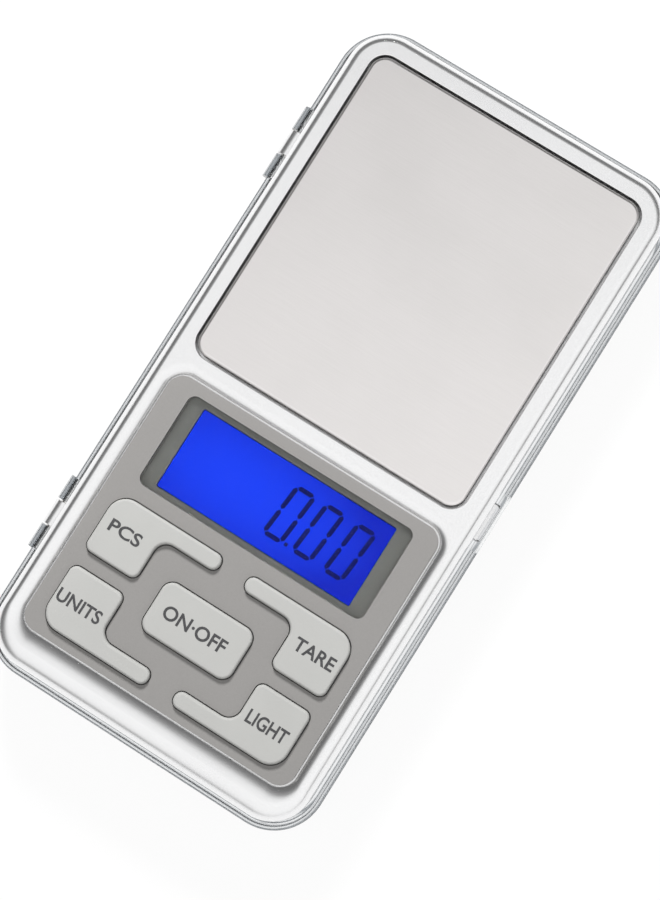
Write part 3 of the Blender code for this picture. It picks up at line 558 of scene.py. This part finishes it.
def legend_ink():
    finish = Finish("legend_ink")
    finish.set("Base Color", finish.blend(finish.noise(2500), (0.03, 0.03, 0.032), (0.07, 0.07, 0.072)))
    finish.set("Roughness", 0.5 + finish.noise(1800) * 0.2)
    return finish.material


def mask_grey():
    """Grey mask printed round the lit display."""
    finish = Finish("mask_grey")
    grain = finish.noise(3000)
    finish.set("Base Color", finish.blend(grain, (0.16, 0.163, 0.15), (0.19, 0.193, 0.178)))
    finish.set("Roughness", 0.5 + grain * 0.15)
    finish.bump(grain, 0.000005)
    return finish.material


def lit_display():
    """Blue backlight through the display glass: brighter at the middle left, darker at the edges."""
    finish = Finish("lit_display", Emission_Strength=1.0, Roughness=0.15, Specular_IOR_Level=0.08)
    x, y = finish.axis("X"), finish.axis("Y")
    middle_y = (SCREEN[2] + SCREEN[3]) / 2 * MM
    half_x, half_y = SCREEN[1] * MM, (SCREEN[3] - SCREEN[2]) / 2 * MM
    across = (x + 0.007) * (1 / half_x)
    along = (y - middle_y) * (1 / half_y)
    away = across * across * 0.55 + along * along * 0.45
    glow = finish.span(away + finish.noise(90) * 0.1, 0.0, 1.1)
    finish.set("Base Color", finish.blend(glow, (0.004, 0.008, 0.10), (0.003, 0.006, 0.08)))
    finish.set("Emission Color", finish.blend(glow, (0.004, 0.045, 0.86), (0.002, 0.013, 0.46)))
    return finish.material


def display_ink():
    """Segments that the liquid crystal darkens."""
    finish = Finish("display_ink", Emission_Strength=1.0, Roughness=0.25, Specular_IOR_Level=0.1)
    cloud = finish.noise(700)
    finish.set("Base Color", finish.blend(cloud, (0.002, 0.003, 0.03), (0.004, 0.006, 0.05)))
    finish.set("Emission Color", finish.blend(cloud, (0.001, 0.003, 0.06), (0.001, 0.004, 0.09)))
    return finish.material


def plated_steel():
    finish = Finish("plated_steel", Metallic=1.0)
    cloud = finish.noise(700, detail=3)
    finish.set("Base Color", finish.blend(cloud, (0.66, 0.65, 0.63), (0.76, 0.75, 0.73)))
    finish.set("Roughness", 0.2 + cloud * 0.15)
    finish.bump(finish.noise(3000), 0.000003)
    return finish.material


def milled_aluminium():
    """Aluminium bar with fine cutter lines across it."""
    finish = Finish("milled_aluminium", Metallic=1.0)
    lines = finish.noise(250, (20, 1, 1), 3)
    finish.set("Base Color", finish.blend(lines, (0.66, 0.665, 0.67), (0.76, 0.765, 0.77)))
    finish.set("Roughness", 0.28 + lines * 0.15)
    finish.bump(lines, 0.000008)
    return finish.material


def black_moulding():
    finish = Finish("black_moulding")
    grain = finish.noise(2500, detail=3)
    finish.set("Base Color", finish.blend(grain, (0.018, 0.018, 0.019), (0.035, 0.035, 0.036)))
    finish.set("Roughness", 0.45 + grain * 0.15)
    finish.bump(grain, 0.000015)
    return finish.material


def foot_rubber():
    finish = Finish("foot_rubber")
    grain = finish.noise(1800, detail=4, rough=0.6)
    dust = finish.span(finish.noise(500, detail=3), 0.5, 0.8)
    finish.set("Base Color", finish.blend(dust * 0.4, (0.015, 0.015, 0.016), (0.07, 0.068, 0.065)))
    finish.set("Roughness", 0.7 + grain * 0.2)
    finish.bump(grain, 0.00003)
    return finish.material


def solder_mask():
    """Green board with tracks showing under the mask."""
    finish = Finish("solder_mask", Coat_Roughness=0.2)
    track = finish.node("ShaderNodeTexBrick", {"offset": 0.37, "squash": 0.7, "squash_frequency": 3},
                        {"Vector": finish.place, "Scale": 260.0, "Mortar Size": 0.06,
                         "Mortar Smooth": 0.1}, "Fac")
    finish.set("Base Color", finish.blend(track, (0.008, 0.10, 0.035), (0.03, 0.24, 0.08)))
    finish.set("Roughness", 0.3 + finish.noise(900) * 0.12)
    finish.bump(track, 0.00003)
    return finish.material


def epoxy_black():
    finish = Finish("epoxy_black")
    ripple = finish.noise(400, detail=2)
    finish.set("Base Color", finish.blend(ripple, (0.006, 0.006, 0.006), (0.02, 0.02, 0.021)))
    finish.set("Roughness", 0.12 + ripple * 0.12)
    finish.bump(ripple, 0.00004)
    return finish.material


def soft_silicone():
    finish = Finish("soft_silicone", Subsurface_Weight=0.2)
    ripple = finish.noise(350, detail=2)
    finish.set("Base Color", finish.blend(ripple, (0.74, 0.73, 0.70), (0.85, 0.84, 0.82)))
    finish.set("Roughness", 0.35 + ripple * 0.2)
    finish.bump(ripple, 0.00005)
    return finish.material


def battery_sleeve():
    """Black shrink sleeve with a plain grey band at each end."""
    finish = Finish("battery_sleeve", Coat_Weight=0.3)
    x = finish.axis("X")
    band = finish.span(x * x, 0.000240, 0.000241)
    nub = finish.span(x * x, 0.000462, 0.000466)
    print_grain = finish.noise(900)
    sleeve = finish.blend(band, (0.02, 0.02, 0.022), (0.30, 0.30, 0.31))
    finish.set("Base Color", finish.blend(nub, sleeve, (0.7, 0.69, 0.67)))
    finish.set("Roughness", 0.2 + print_grain * 0.12)
    finish.set("Metallic", nub * 1.0)
    return finish.material


FINISH = {"silver": silver_coat(), "clear": clear_moulding(), "pane": window_pane(),
          "plate": brushed_plate(), "panel": panel_film(), "key": key_resin(), "ink": legend_ink(),
          "mask": mask_grey(),
          "lit": lit_display(), "segment": display_ink(), "steel": plated_steel(),
          "aluminium": milled_aluminium(), "black": black_moulding(), "rubber": foot_rubber(),
          "board": solder_mask(), "epoxy": epoxy_black(), "silicone": soft_silicone(),
          "battery": battery_sleeve()}


# ---------------------------------------------------------------- cover and hinge
def make_cover():
    """The clear tray under the case, with its ears, knuckle gaps and thumb notch."""
    cover = rounded_sheet("clear_cover", COVER, 0, COVER_CORNER, 24)
    extrude(COVER_HEIGHT)
    outwards()
    round_edges(level(COVER_HEIGHT), COVER_ROUND, 8)
    pick("FACE", level(COVER_HEIGHT))
    inset(COVER_RIM - COVER_ROUND)
    extrude(-COVER_STEP)
    inset(COVER_WALL - COVER_RIM)
    extrude(COVER_FLOOR + COVER_STEP - COVER_HEIGHT)
    round_edges(level(0), COVER_EDGE, 8)
    round_edges(level(COVER_FLOOR), COVER_FILLET, 4)
    round_edges(level(COVER_HEIGHT), COVER_INNER_ROUND, 5)
    round_edges(level(COVER_HEIGHT - COVER_STEP), COVER_STEP_ROUND, 5)
    ears, gaps, holes = [], [], []
    for y in HINGE_Y:
        knuckle = KNUCKLE_HALF + KNUCKLE_GAP
        ears.append(barrel("ear", y - HINGE_HALF, y + HINGE_HALF, BARREL_RADIUS))
        holes.append(pin_hole(y, HINGE_HALF))
        reach = BARREL_RADIUS + GAP_REACH
        gaps.append(prism("gap", (HINGE_X - reach, HINGE_X + reach, y - knuckle, y + knuckle),
                          HINGE_Z - reach, COVER_HEIGHT + OVERRUN, 0))
        alone(gaps[-1])
    unite(cover, *ears)
    cut(cover, *holes)
    cut(cover, *gaps)
    notch = rounded_sheet("notch", (-NOTCH_HALF, NOTCH_HALF, -NOTCH_DEPTH, OVERRUN), -OVERRUN, 0)
    pick("VERT", lambda middle, item: middle.y < 0)
    round_corners(NOTCH_CORNER, 12)
    bpy.ops.mesh.select_all(action="SELECT")
    extrude(2 * OVERRUN)
    outwards()
    alone(notch)
    notch.rotation_euler = (math.pi / 2, 0, math.pi / 2)
    notch.location = (COVER[1], 0, COVER_HEIGHT)
    bpy.ops.object.transform_apply(location=True, rotation=True, scale=True)
    cut(cover, notch)
    finish_piece(cover, "cover", FINISH["clear"], ["cover_tray"])
    for side, y in zip(("front", "rear"), HINGE_Y):
        half = HINGE_HALF - 0.1
        pin = barrel(f"pin_{side}", y - half, y + half, PIN_RADIUS)
        edit(pin)
        round_edges(lambda middle, item: abs(abs(middle.y - y) - half) < 0.01, PIN_EDGE, 3)
        finish_piece(pin, "cover", FINISH["steel"], [f"hinge_pin_{side}"])


def hinge_pockets():
    half = HINGE_HALF + POCKET_END
    return [barrel("pocket", y - half, y + half, POCKET_RADIUS) for y in HINGE_Y]


# ---------------------------------------------------------------- case
def make_top():
    """The upper shell: a convex roll round its rim, the platform well and the keypad recess."""
    top = rounded_sheet("case_top", CASE, SEAM_Z, CASE_CORNER, 24)
    roll_z = RIM_Z - ROLL_DROP
    extrude(SEAM_STRIP)
    extrude(roll_z - SEAM_Z - SEAM_STRIP)
    rings = 20
    before = (0.0, 0.0)
    for ring in range(1, rings + 1):
        angle = math.pi / 2 * ring / rings
        share = 1 - math.cos(angle), math.sin(angle)
        along, up = share[0] - before[0], share[1] - before[1]
        z = roll_z + ROLL_DROP * share[1]
        draw_in(ROLL_SIDE * along, ROLL_DROP * up, z, (ROLL_FRONT - ROLL_SIDE) * along)
        before = share
    outwards()
    round_edges(level(SEAM_Z), SEAM_EDGE, 2)

    inside = grown(CASE, -CASE_WALL)
    radius = CASE_CORNER - CASE_WALL
    well = grown(PLATE, WELL_GAP)
    recess = grown(PANEL, PANEL_GAP)
    front_room = (inside[0] + 0.1, inside[1] - 0.1, inside[2] + 0.1, well[2] - WELL_WALL)
    cut(top, prism("cavity", inside, SEAM_Z - OVERRUN, WELL_CEILING_Z, radius))
    cut(top, prism("front_cavity", front_room, WELL_CEILING_Z - OVERLAP, CEILING_Z, radius))
    cut(top, lipped_cutter(well, WELL_CORNER, WELL_Z, RIM_Z, **WELL_LIP))
    cut(top, lipped_cutter(recess, PANEL_CORNER + PANEL_GAP, LEDGE_TOP_Z, RIM_Z, **RECESS_LIP))
    cut(top, prism("panel_opening", grown(recess, -LEDGE_WIDTH), CEILING_Z - OVERLAP, RIM_Z,
                   PANEL_CORNER + PANEL_GAP - LEDGE_WIDTH))
    cut(top, *hinge_pockets())
    knuckles = [barrel("knuckle", y - KNUCKLE_HALF, y + KNUCKLE_HALF, BARREL_RADIUS) for y in HINGE_Y]
    web_top_z = HINGE_Z + BARREL_RADIUS - 0.1
    webs = [alone(prism("web", (HINGE_X, CASE[0] + CASE_WALL / 2, y - KNUCKLE_HALF, y + KNUCKLE_HALF),
                        web_top_z - WEB_HEIGHT, web_top_z, 0)) for y in HINGE_Y]
    unite(top, *webs)
    unite(top, *knuckles)
    cut(top, *[pin_hole(y, KNUCKLE_HALF) for y in HINGE_Y])
    finish_piece(top, "case", FINISH["silver"], ["top_case"])


def make_base():
    """The lower shell, with the door recess underneath and the thumb lip on its right."""
    base = rounded_sheet("case_base", CASE, BASE_Z, CASE_CORNER, 24)
    extrude(BASE_RIM_Z - BASE_Z)
    outwards()
    pick("FACE", level(BASE_RIM_Z))
    inset(CASE_WALL + TONGUE_GAP)
    extrude(TONGUE_HEIGHT)
    inset(TONGUE_WALL)
    extrude(BASE_Z + BASE_FLOOR - BASE_RIM_Z - TONGUE_HEIGHT)
    round_edges(level(BASE_Z), BASE_EDGE, 10)
    round_edges(level(BASE_RIM_Z), SEAM_EDGE, 2)
    lip_box = (CASE[1] - CASE_WALL / 2, size_of("base_case")[1], -LIP_HALF, LIP_HALF)
    lip = prism("lip", lip_box, LIP_TOP_Z - LIP_HEIGHT, LIP_TOP_Z, LIP_CORNER, 8)
    round_edges(level(LIP_TOP_Z), LIP_EDGE, 4)
    alone(lip)
    unite(base, lip)
    floor_z = BASE_Z + BASE_FLOOR
    x0, x1, y0, y1, z0 = size_of("load_cell")[:5]
    pad = alone(prism("pad", (x0, x0 + CELL_PAD_LENGTH, y0, y1), floor_z - OVERLAP, z0 - 0.05, 0))
    posts = []
    for number in range(1, 5):
        x0, x1, y0, y1 = outline_of(f"case_screw_{number}")
        posts.append(post("post", (x0 + x1) / 2, (y0 + y1) / 2, floor_z - OVERLAP, BASE_RIM_Z, POST_RADIUS))
    unite(base, pad, *posts)
    cut(base, prism("door_recess", grown(DOOR, DOOR_GAP), BASE_Z - OVERRUN, DOOR_TOP_Z + 0.15,
                    DOOR_CORNER + DOOR_GAP))
    cut(base, prism("battery_opening", grown(DOOR, -DOOR_LAP), BASE_Z - OVERRUN, floor_z + 1, 0.6))
    cut(base, *hinge_pockets())
    finish_piece(base, "case", FINISH["silver"], ["base_case"])


def make_door():
    door = prism("door", DOOR, DOOR_Z, DOOR_TOP_Z, DOOR_CORNER, 12)
    round_edges(level(DOOR_Z), DOOR_EDGE, 3)
    alone(door)
    grips = []
    for number in range(3):
        y = DOOR[3] - 2 * GRIP_WIDTH * (number + 1)
        grips.append(prism("grip", (-GRIP_HALF, GRIP_HALF, y, y + GRIP_WIDTH), DOOR_Z - 1,
                           DOOR_Z + GRIP_DEPTH, 0.55, 8))
        alone(grips[-1])
    cut(door, *grips)
    finish_piece(door, "door", FINISH["silver"], ["battery_door"])


def make_feet():
    for number in range(1, 5):
        x0, x1, y0, y1, z0, z1 = size_of(f"rubber_foot_{number}")
        foot = post(f"foot_{number}", (x0 + x1) / 2, (y0 + y1) / 2, z0, z1, (x1 - x0) / 2)
        edit(foot)
        round_edges(level(z0), FOOT_EDGE, 5)
        pick("FACE", level(z0))
        inset(FOOT_RING)
        inset(0.25, -FOOT_DIMPLE)
        finish_piece(foot, "case", FINISH["rubber"], [f"rubber_foot_{number}"])


# ---------------------------------------------------------------- keypad
OUTER_KEYS = {"key_light": (1, 1), "key_units": (-1, 1), "key_tare": (1, -1), "key_pieces": (-1, -1)}
KEY_BLOCK = 10.0
KEY_TAIL = 2.85
KEY_OUTER_CORNER = 3.3
KEY_CORNER = 1.35
KEY_FILLET = 2.4
MIDDLE_KEY_CORNER = 2.0
KEYPAD_Y = sum(outline_of("key_power")[2:]) / 2


def outer_key_sheet(name, growth, z):
    """The outline of one outer key, moved outwards by a growth: a block whose front runs on as a tail.
    All four are the front right-hand one, mirrored."""
    x0, x1, y0, y1 = grown(outline_of("key_light"), growth - KEY_FLANGE)
    inner, tail = x1 - growth - KEY_BLOCK - growth, y0 + growth + KEY_TAIL + growth
    obj = rounded_sheet(name, (inner, x1, y0, y1), z, 0)
    bpy.ops.mesh.bisect(plane_co=(0, tail, z), plane_no=(0, 1, 0))
    pick("EDGE", lambda middle, item: abs(middle.x - inner) < 0.001 and middle.y < tail)
    bpy.ops.mesh.extrude_region_move(TRANSFORM_OT_translate={"value": (x0 - inner, 0, 0)})
    bpy.ops.mesh.select_all(action="SELECT")
    bpy.ops.mesh.dissolve_limited(angle_limit=math.radians(1))
    corners = [((x1, y0), KEY_OUTER_CORNER + growth), ((x1, y1), KEY_CORNER + growth),
               ((inner, y1), KEY_CORNER + growth), ((inner, tail), KEY_FILLET - growth),
               ((x0, tail), KEY_CORNER + growth), ((x0, y0), KEY_CORNER + growth)]
    for (x, y), radius in corners:
        pick("VERT", lambda middle, item: abs(middle.x - x) + abs(middle.y - y) < 0.01)
        round_corners(radius, 10)
    bpy.ops.mesh.select_all(action="SELECT")
    return obj


def middle_key_sheet(name, growth, z):
    box = grown(outline_of("key_power"), growth - KEY_FLANGE)
    return rounded_sheet(name, box, z, MIDDLE_KEY_CORNER + growth, 12)


def mirrored(obj, key):
    """Turns the front right-hand key's shape into another one's."""
    across, along = OUTER_KEYS[key]
    if (across, along) != (1, 1):
        bpy.ops.mesh.select_all(action="SELECT")
        bpy.ops.transform.resize(value=(across, along, 1), center_override=(0, KEYPAD_Y, 0))
        outwards()
    return obj


def make_keys():
    """Five moulded keys, each with a flange under the panel and a rounded upper edge."""
    for name in list(OUTER_KEYS) + ["key_power"]:
        outer = name in OUTER_KEYS
        flange_z = KEY_FLANGE_TOP_Z - KEY_FLANGE_THICKNESS
        sheet = outer_key_sheet if outer else middle_key_sheet
        key = sheet(name + "_cap", KEY_FLANGE, flange_z)
        extrude(KEY_FLANGE_THICKNESS)
        inset(KEY_FLANGE)
        extrude(KEY_TOP_Z - KEY_FLANGE_TOP_Z)
        outwards()
        round_edges(level(KEY_TOP_Z), KEY_EDGE, 6)
        if outer:
            mirrored(key, name)
        x0, x1, y0, y1 = outline_of(name + "_dome")
        plunger = post("plunger", (x0 + x1) / 2, (y0 + y1) / 2, KEY_Z, flange_z + 0.1, PLUNGER_RADIUS, 32)
        unite(key, plunger)
        finish_piece(key, name[4:] + "_button", FINISH["key"], [name])


# Each legend's word, the place of its middle, and its height and width
LEGENDS = {"key_pieces": ("PCS", -18.3, -32.9, 2.2, 5.9),
           "key_units": ("UNITS", -18.3, -46.8, 2.3, 8.2),
           "key_power": ("ON\u00b7OFF", -0.4, -40.0, 2.4, 11.7),
           "key_tare": ("TARE", 18.1, -33.1, 2.3, 7.4),
           "key_light": ("LIGHT", 17.8, -46.9, 2.4, 7.4)}
INK_THICKNESS = 0.03
INK_WEIGHT = 0.2


def make_legends():
    """The keys' generic function words, printed as a thin film of ink."""
    for name, (word, x, y, height, width) in LEGENDS.items():
        bpy.ops.object.text_add()
        obj = bpy.context.object
        obj.data.body = word
        obj.data.size = 10
        obj.data.align_x = "CENTER"
        obj.data.extrude = 0.1
        obj.data.offset = INK_WEIGHT
        obj.data.resolution_u = 6
        bpy.ops.object.convert(target="MESH")
        obj = bpy.context.object
        obj.name = name.replace("key_", "legend_")
        edit(obj)
        bpy.ops.mesh.select_all(action="SELECT")
        bpy.ops.mesh.remove_doubles(threshold=0.0001)
        alone(obj)
        low = Vector([min(v.co[i] for v in obj.data.vertices) for i in range(3)])
        high = Vector([max(v.co[i] for v in obj.data.vertices) for i in range(3)])
        size, middle = high - low, (high + low) / 2
        scale = (width / size.x, height / size.y, INK_THICKNESS / size.z)
        obj.scale = scale
        obj.location = (x - middle.x * scale[0], y - middle.y * scale[1],
                        KEY_TOP_Z + 0.005 - middle.z * scale[2])
        bpy.ops.object.transform_apply(location=True, rotation=True, scale=True)
        finish_piece(obj, name[4:] + "_button", FINISH["ink"])


def make_panel():
    """The grey plate that fills the recess, with a hole for each key and for the window."""
    panel = prism("panel_plate", PANEL, PANEL_Z, PANEL_TOP_Z, PANEL_CORNER, 16)
    round_edges(level(PANEL_TOP_Z), PANEL_EDGE, 2)
    holes = [alone(prism("window_hole", grown(WINDOW, WINDOW_GAP), PANEL_Z - 1, PANEL_TOP_Z + 1, 1.5))]
    middle = middle_key_sheet("key_hole", KEY_GAP, PANEL_Z - 1)
    extrude(PANEL_TOP_Z - PANEL_Z + 2)
    outwards()
    holes.append(alone(middle))
    for name in OUTER_KEYS:
        hole = outer_key_sheet("key_hole", KEY_GAP, PANEL_Z - 1)
        extrude(PANEL_TOP_Z - PANEL_Z + 2)
        outwards()
        holes.append(alone(mirrored(hole, name)))
    cut(panel, *holes)
    finish_piece(panel, "case", FINISH["panel"], ["keypad_panel"])


# ---------------------------------------------------------------- display
# Each stroke's middle across and up its digit, and whether it stands upright
SEGMENTS = {"a": (0.5, 1.0, 0), "b": (1.0, 0.75, 1), "c": (1.0, 0.25, 1), "d": (0.5, 0.0, 0),
            "e": (0.0, 0.25, 1), "f": (0.0, 0.75, 1)}
DIGIT_X = (2.45, 8.05, 14.05)
DIGIT_WIDTH = 3.2
DIGIT_HEIGHT = 9.0
DIGIT_Y = -16.3
STROKE = 0.78
STROKE_BREAK = 0.25
STROKE_POINT = 0.48
SEGMENT_THICKNESS = 0.04
POINT_X = 5.0
POINT_HALF = 0.3
SLANT = 0.09


def make_digits():
    """Three zeros and a decimal point in seven-segment strokes with pointed ends, leaning a little."""
    z = GLASS_TOP_Z
    strokes = []
    for digit_x in DIGIT_X:
        for across, along, upright in SEGMENTS.values():
            length = (DIGIT_HEIGHT / 2 if upright else DIGIT_WIDTH) - STROKE_BREAK
            wide, tall = (STROKE, length) if upright else (length, STROKE)
            x = digit_x + (across - 0.5) * DIGIT_WIDTH
            y = DIGIT_Y + (along - 0.5) * DIGIT_HEIGHT
            stroke = rounded_sheet("stroke", (x - wide / 2, x + wide / 2, y - tall / 2, y + tall / 2),
                                   z, STROKE * STROKE_POINT, 1)
            extrude(SEGMENT_THICKNESS)
            outwards()
            strokes.append(alone(stroke))
    y = DIGIT_Y - DIGIT_HEIGHT / 2 + 0.1
    point = prism("point", grown((POINT_X, POINT_X, y, y), POINT_HALF), z, z + SEGMENT_THICKNESS, 0.12, 4)
    strokes.append(alone(point))
    digits = joined(strokes)
    digits.name = "display_digits"
    lean = Matrix.Identity(4)
    lean[0][1] = SLANT
    lean[0][3] = -SLANT * DIGIT_Y
    digits.data.transform(lean)
    finish_piece(digits, "case", FINISH["segment"])


def make_display():
    """The window, the grey mask round the lit glass, and the glass itself."""
    x0, x1, y0, y1, z0, z1 = size_of("display_window")
    window = prism("window_pane", (x0, x1, y0, y1), z0, z1, 1.2, 12)
    round_edges(level(z1), 0.1, 3)
    finish_piece(window, "case", FINISH["pane"], ["display_window"])
    x0, x1, y0, y1, z0, z1 = size_of("display_frame")
    mask = prism("display_mask", (x0, x1, y0, y1), z0, z1, 0.5, 6)
    alone(mask)
    opening = alone(prism("opening", grown(SCREEN, 0.15), z0 - 1, z1 + 1, 0.4, 6))
    cut(mask, opening)
    finish_piece(mask, "case", FINISH["mask"], ["display_frame"])
    glass = prism("lit_glass", SCREEN, GLASS_Z, GLASS_TOP_Z, 0.3, 4)
    round_edges(level(GLASS_TOP_Z), 0.08, 2)
    finish_piece(glass, "case", FINISH["lit"], ["display_glass"])
    make_digits()


# ---------------------------------------------------------------- platform
def make_platform():
    """The steel plate: a flat sheet rolled over at its edges, hollow underneath."""
    plate = prism("weighing_plate", PLATE, PLATE_Z, PLATE_TOP_Z, WELL_CORNER - WELL_GAP, 20)
    pick("FACE", level(PLATE_Z))
    inset(PLATE_SHEET)
    extrude(PLATE_TOP_Z - PLATE_Z - PLATE_SHEET)
    round_edges(level(PLATE_TOP_Z), PLATE_EDGE, 8)
    finish_piece(plate, "platform", FINISH["plate"], ["platform_plate"])


# ---------------------------------------------------------------- what the frame already shapes
def finish_frame():
    """Gives each of the frame's own pieces that still shows its finish."""
    slots = {part["node"]: part["material_slot"] for part in frame["record"]["subparts"]}
    by_slot = {"steel": "steel", "aluminium": "aluminium", "black_plastic": "black", "rubber": "rubber",
               "board_green": "board", "white_silicone": "silicone", "battery_jacket": "battery",
               "display_blue": "lit"}
    for name, node in frame["nodes"].items():
        if node.hide_render:
            continue
        finish = "epoxy" if name == "processor" else by_slot[slots[name]]
        node.data.materials.clear()
        node.data.materials.append(FINISH[finish])


# ---------------------------------------------------------------- stage
def make_stage():
    """A pale floor that runs out of sight."""
    bpy.ops.mesh.primitive_plane_add(size=60, location=(0, 0, 0))
    floor = bpy.context.object
    floor.name = "floor"
    finish = Finish("pale_floor", Roughness=0.9, Emission_Strength=0.93, Specular_IOR_Level=0.0)
    finish.set("Base Color", finish.blend(finish.noise(3), (0.065, 0.065, 0.065), (0.07, 0.07, 0.07)))
    finish.set("Emission Color", finish.blend(finish.noise(3), (0.99, 0.99, 0.99), (1.0, 1.0, 1.0)))
    floor.data.materials.append(finish.material)


def make_surroundings():
    """A studio that is bright overhead, on the right and in front, and dim behind, over a pale horizon."""
    world = bpy.data.worlds.new("studio")
    world.use_nodes = True
    bpy.context.scene.world = world
    tree = world.node_tree
    place = tree.nodes.new("ShaderNodeTexCoord")
    lean = tree.nodes.new("ShaderNodeVectorMath")
    lean.operation = "DOT_PRODUCT"
    lean.inputs[1].default_value = (0.38, -0.45, 1.0)
    tree.links.new(place.outputs["Generated"], lean.inputs[0])
    ramp = tree.nodes.new("ShaderNodeValToRGB")
    tree.links.new(lean.outputs["Value"], ramp.inputs[0])
    stops = ((0.0, 0.08), (0.30, 0.10), (0.60, 0.26), (0.76, 0.95), (1.0, 1.02))
    for position, tone in stops[1:-1]:
        ramp.color_ramp.elements.new(position)
    for stop, (position, tone) in zip(ramp.color_ramp.elements, stops):
        stop.position, stop.color = position, (tone, tone, tone, 1)
    height = tree.nodes.new("ShaderNodeSeparateXYZ")
    tree.links.new(place.outputs["Generated"], height.inputs[0])
    horizon = tree.nodes.new("ShaderNodeMapRange")
    horizon.inputs["From Min"].default_value, horizon.inputs["From Max"].default_value = 0.05, 0.12
    tree.links.new(height.outputs["Z"], horizon.inputs["Value"])
    backdrop = tree.nodes.new("ShaderNodeMix")
    backdrop.data_type = "RGBA"
    backdrop.inputs[6].default_value = (1.0, 1.0, 1.0, 1)
    tree.links.new(horizon.outputs[0], backdrop.inputs[0])
    tree.links.new(ramp.outputs[0], backdrop.inputs[7])
    tree.links.new(backdrop.outputs[2], tree.nodes["Background"].inputs[0])


def make_light(name, place, aim, size, power):
    light = bpy.data.lights.new(name, "AREA")
    light.shape = "RECTANGLE"
    light.size, light.size_y = size
    light.energy = power
    lamp = bpy.data.objects.new(name, light)
    bpy.context.scene.collection.objects.link(lamp)
    lamp.location = place
    lamp.visible_glossy = False
    lamp.rotation_euler = (Vector(aim) - Vector(place)).to_track_quat("-Z", "Y").to_euler()


def make_camera():
    """Looks nearly straight down, from a little to the right and the front, turned about its own axis."""
    toward = Vector((0.10, -0.05, 0.99)).normalized()
    turn = -0.5605
    target = Vector((2.7, -4.0, 19.6)) * MM
    distance = 323 * MM
    ahead = -toward
    across = ahead.cross(Vector((0, 1, 0))).normalized()
    down = ahead.cross(across)
    right = across * math.cos(turn) + down * math.sin(turn)
    low = down * math.cos(turn) - across * math.sin(turn)
    camera = bpy.data.cameras.new("camera")
    camera.lens, camera.sensor_width = 80, 36
    holder = bpy.data.objects.new("camera", camera)
    bpy.context.scene.collection.objects.link(holder)
    place = Matrix((right, -low, toward)).transposed().to_4x4()
    place.translation = target + toward * distance
    holder.matrix_world = place
    bpy.context.scene.camera = holder
    bpy.context.scene.view_settings.view_transform = "Standard"


make_cover()
make_base()
make_top()
make_door()
make_feet()
make_panel()
make_keys()
make_legends()
make_display()
make_platform()
finish_frame()
make_stage()
make_surroundings()
make_light("window_light", (-0.22, 0.36, 0.38), (0, 0, 0), (0.12, 0.12), 5.0)
make_camera()
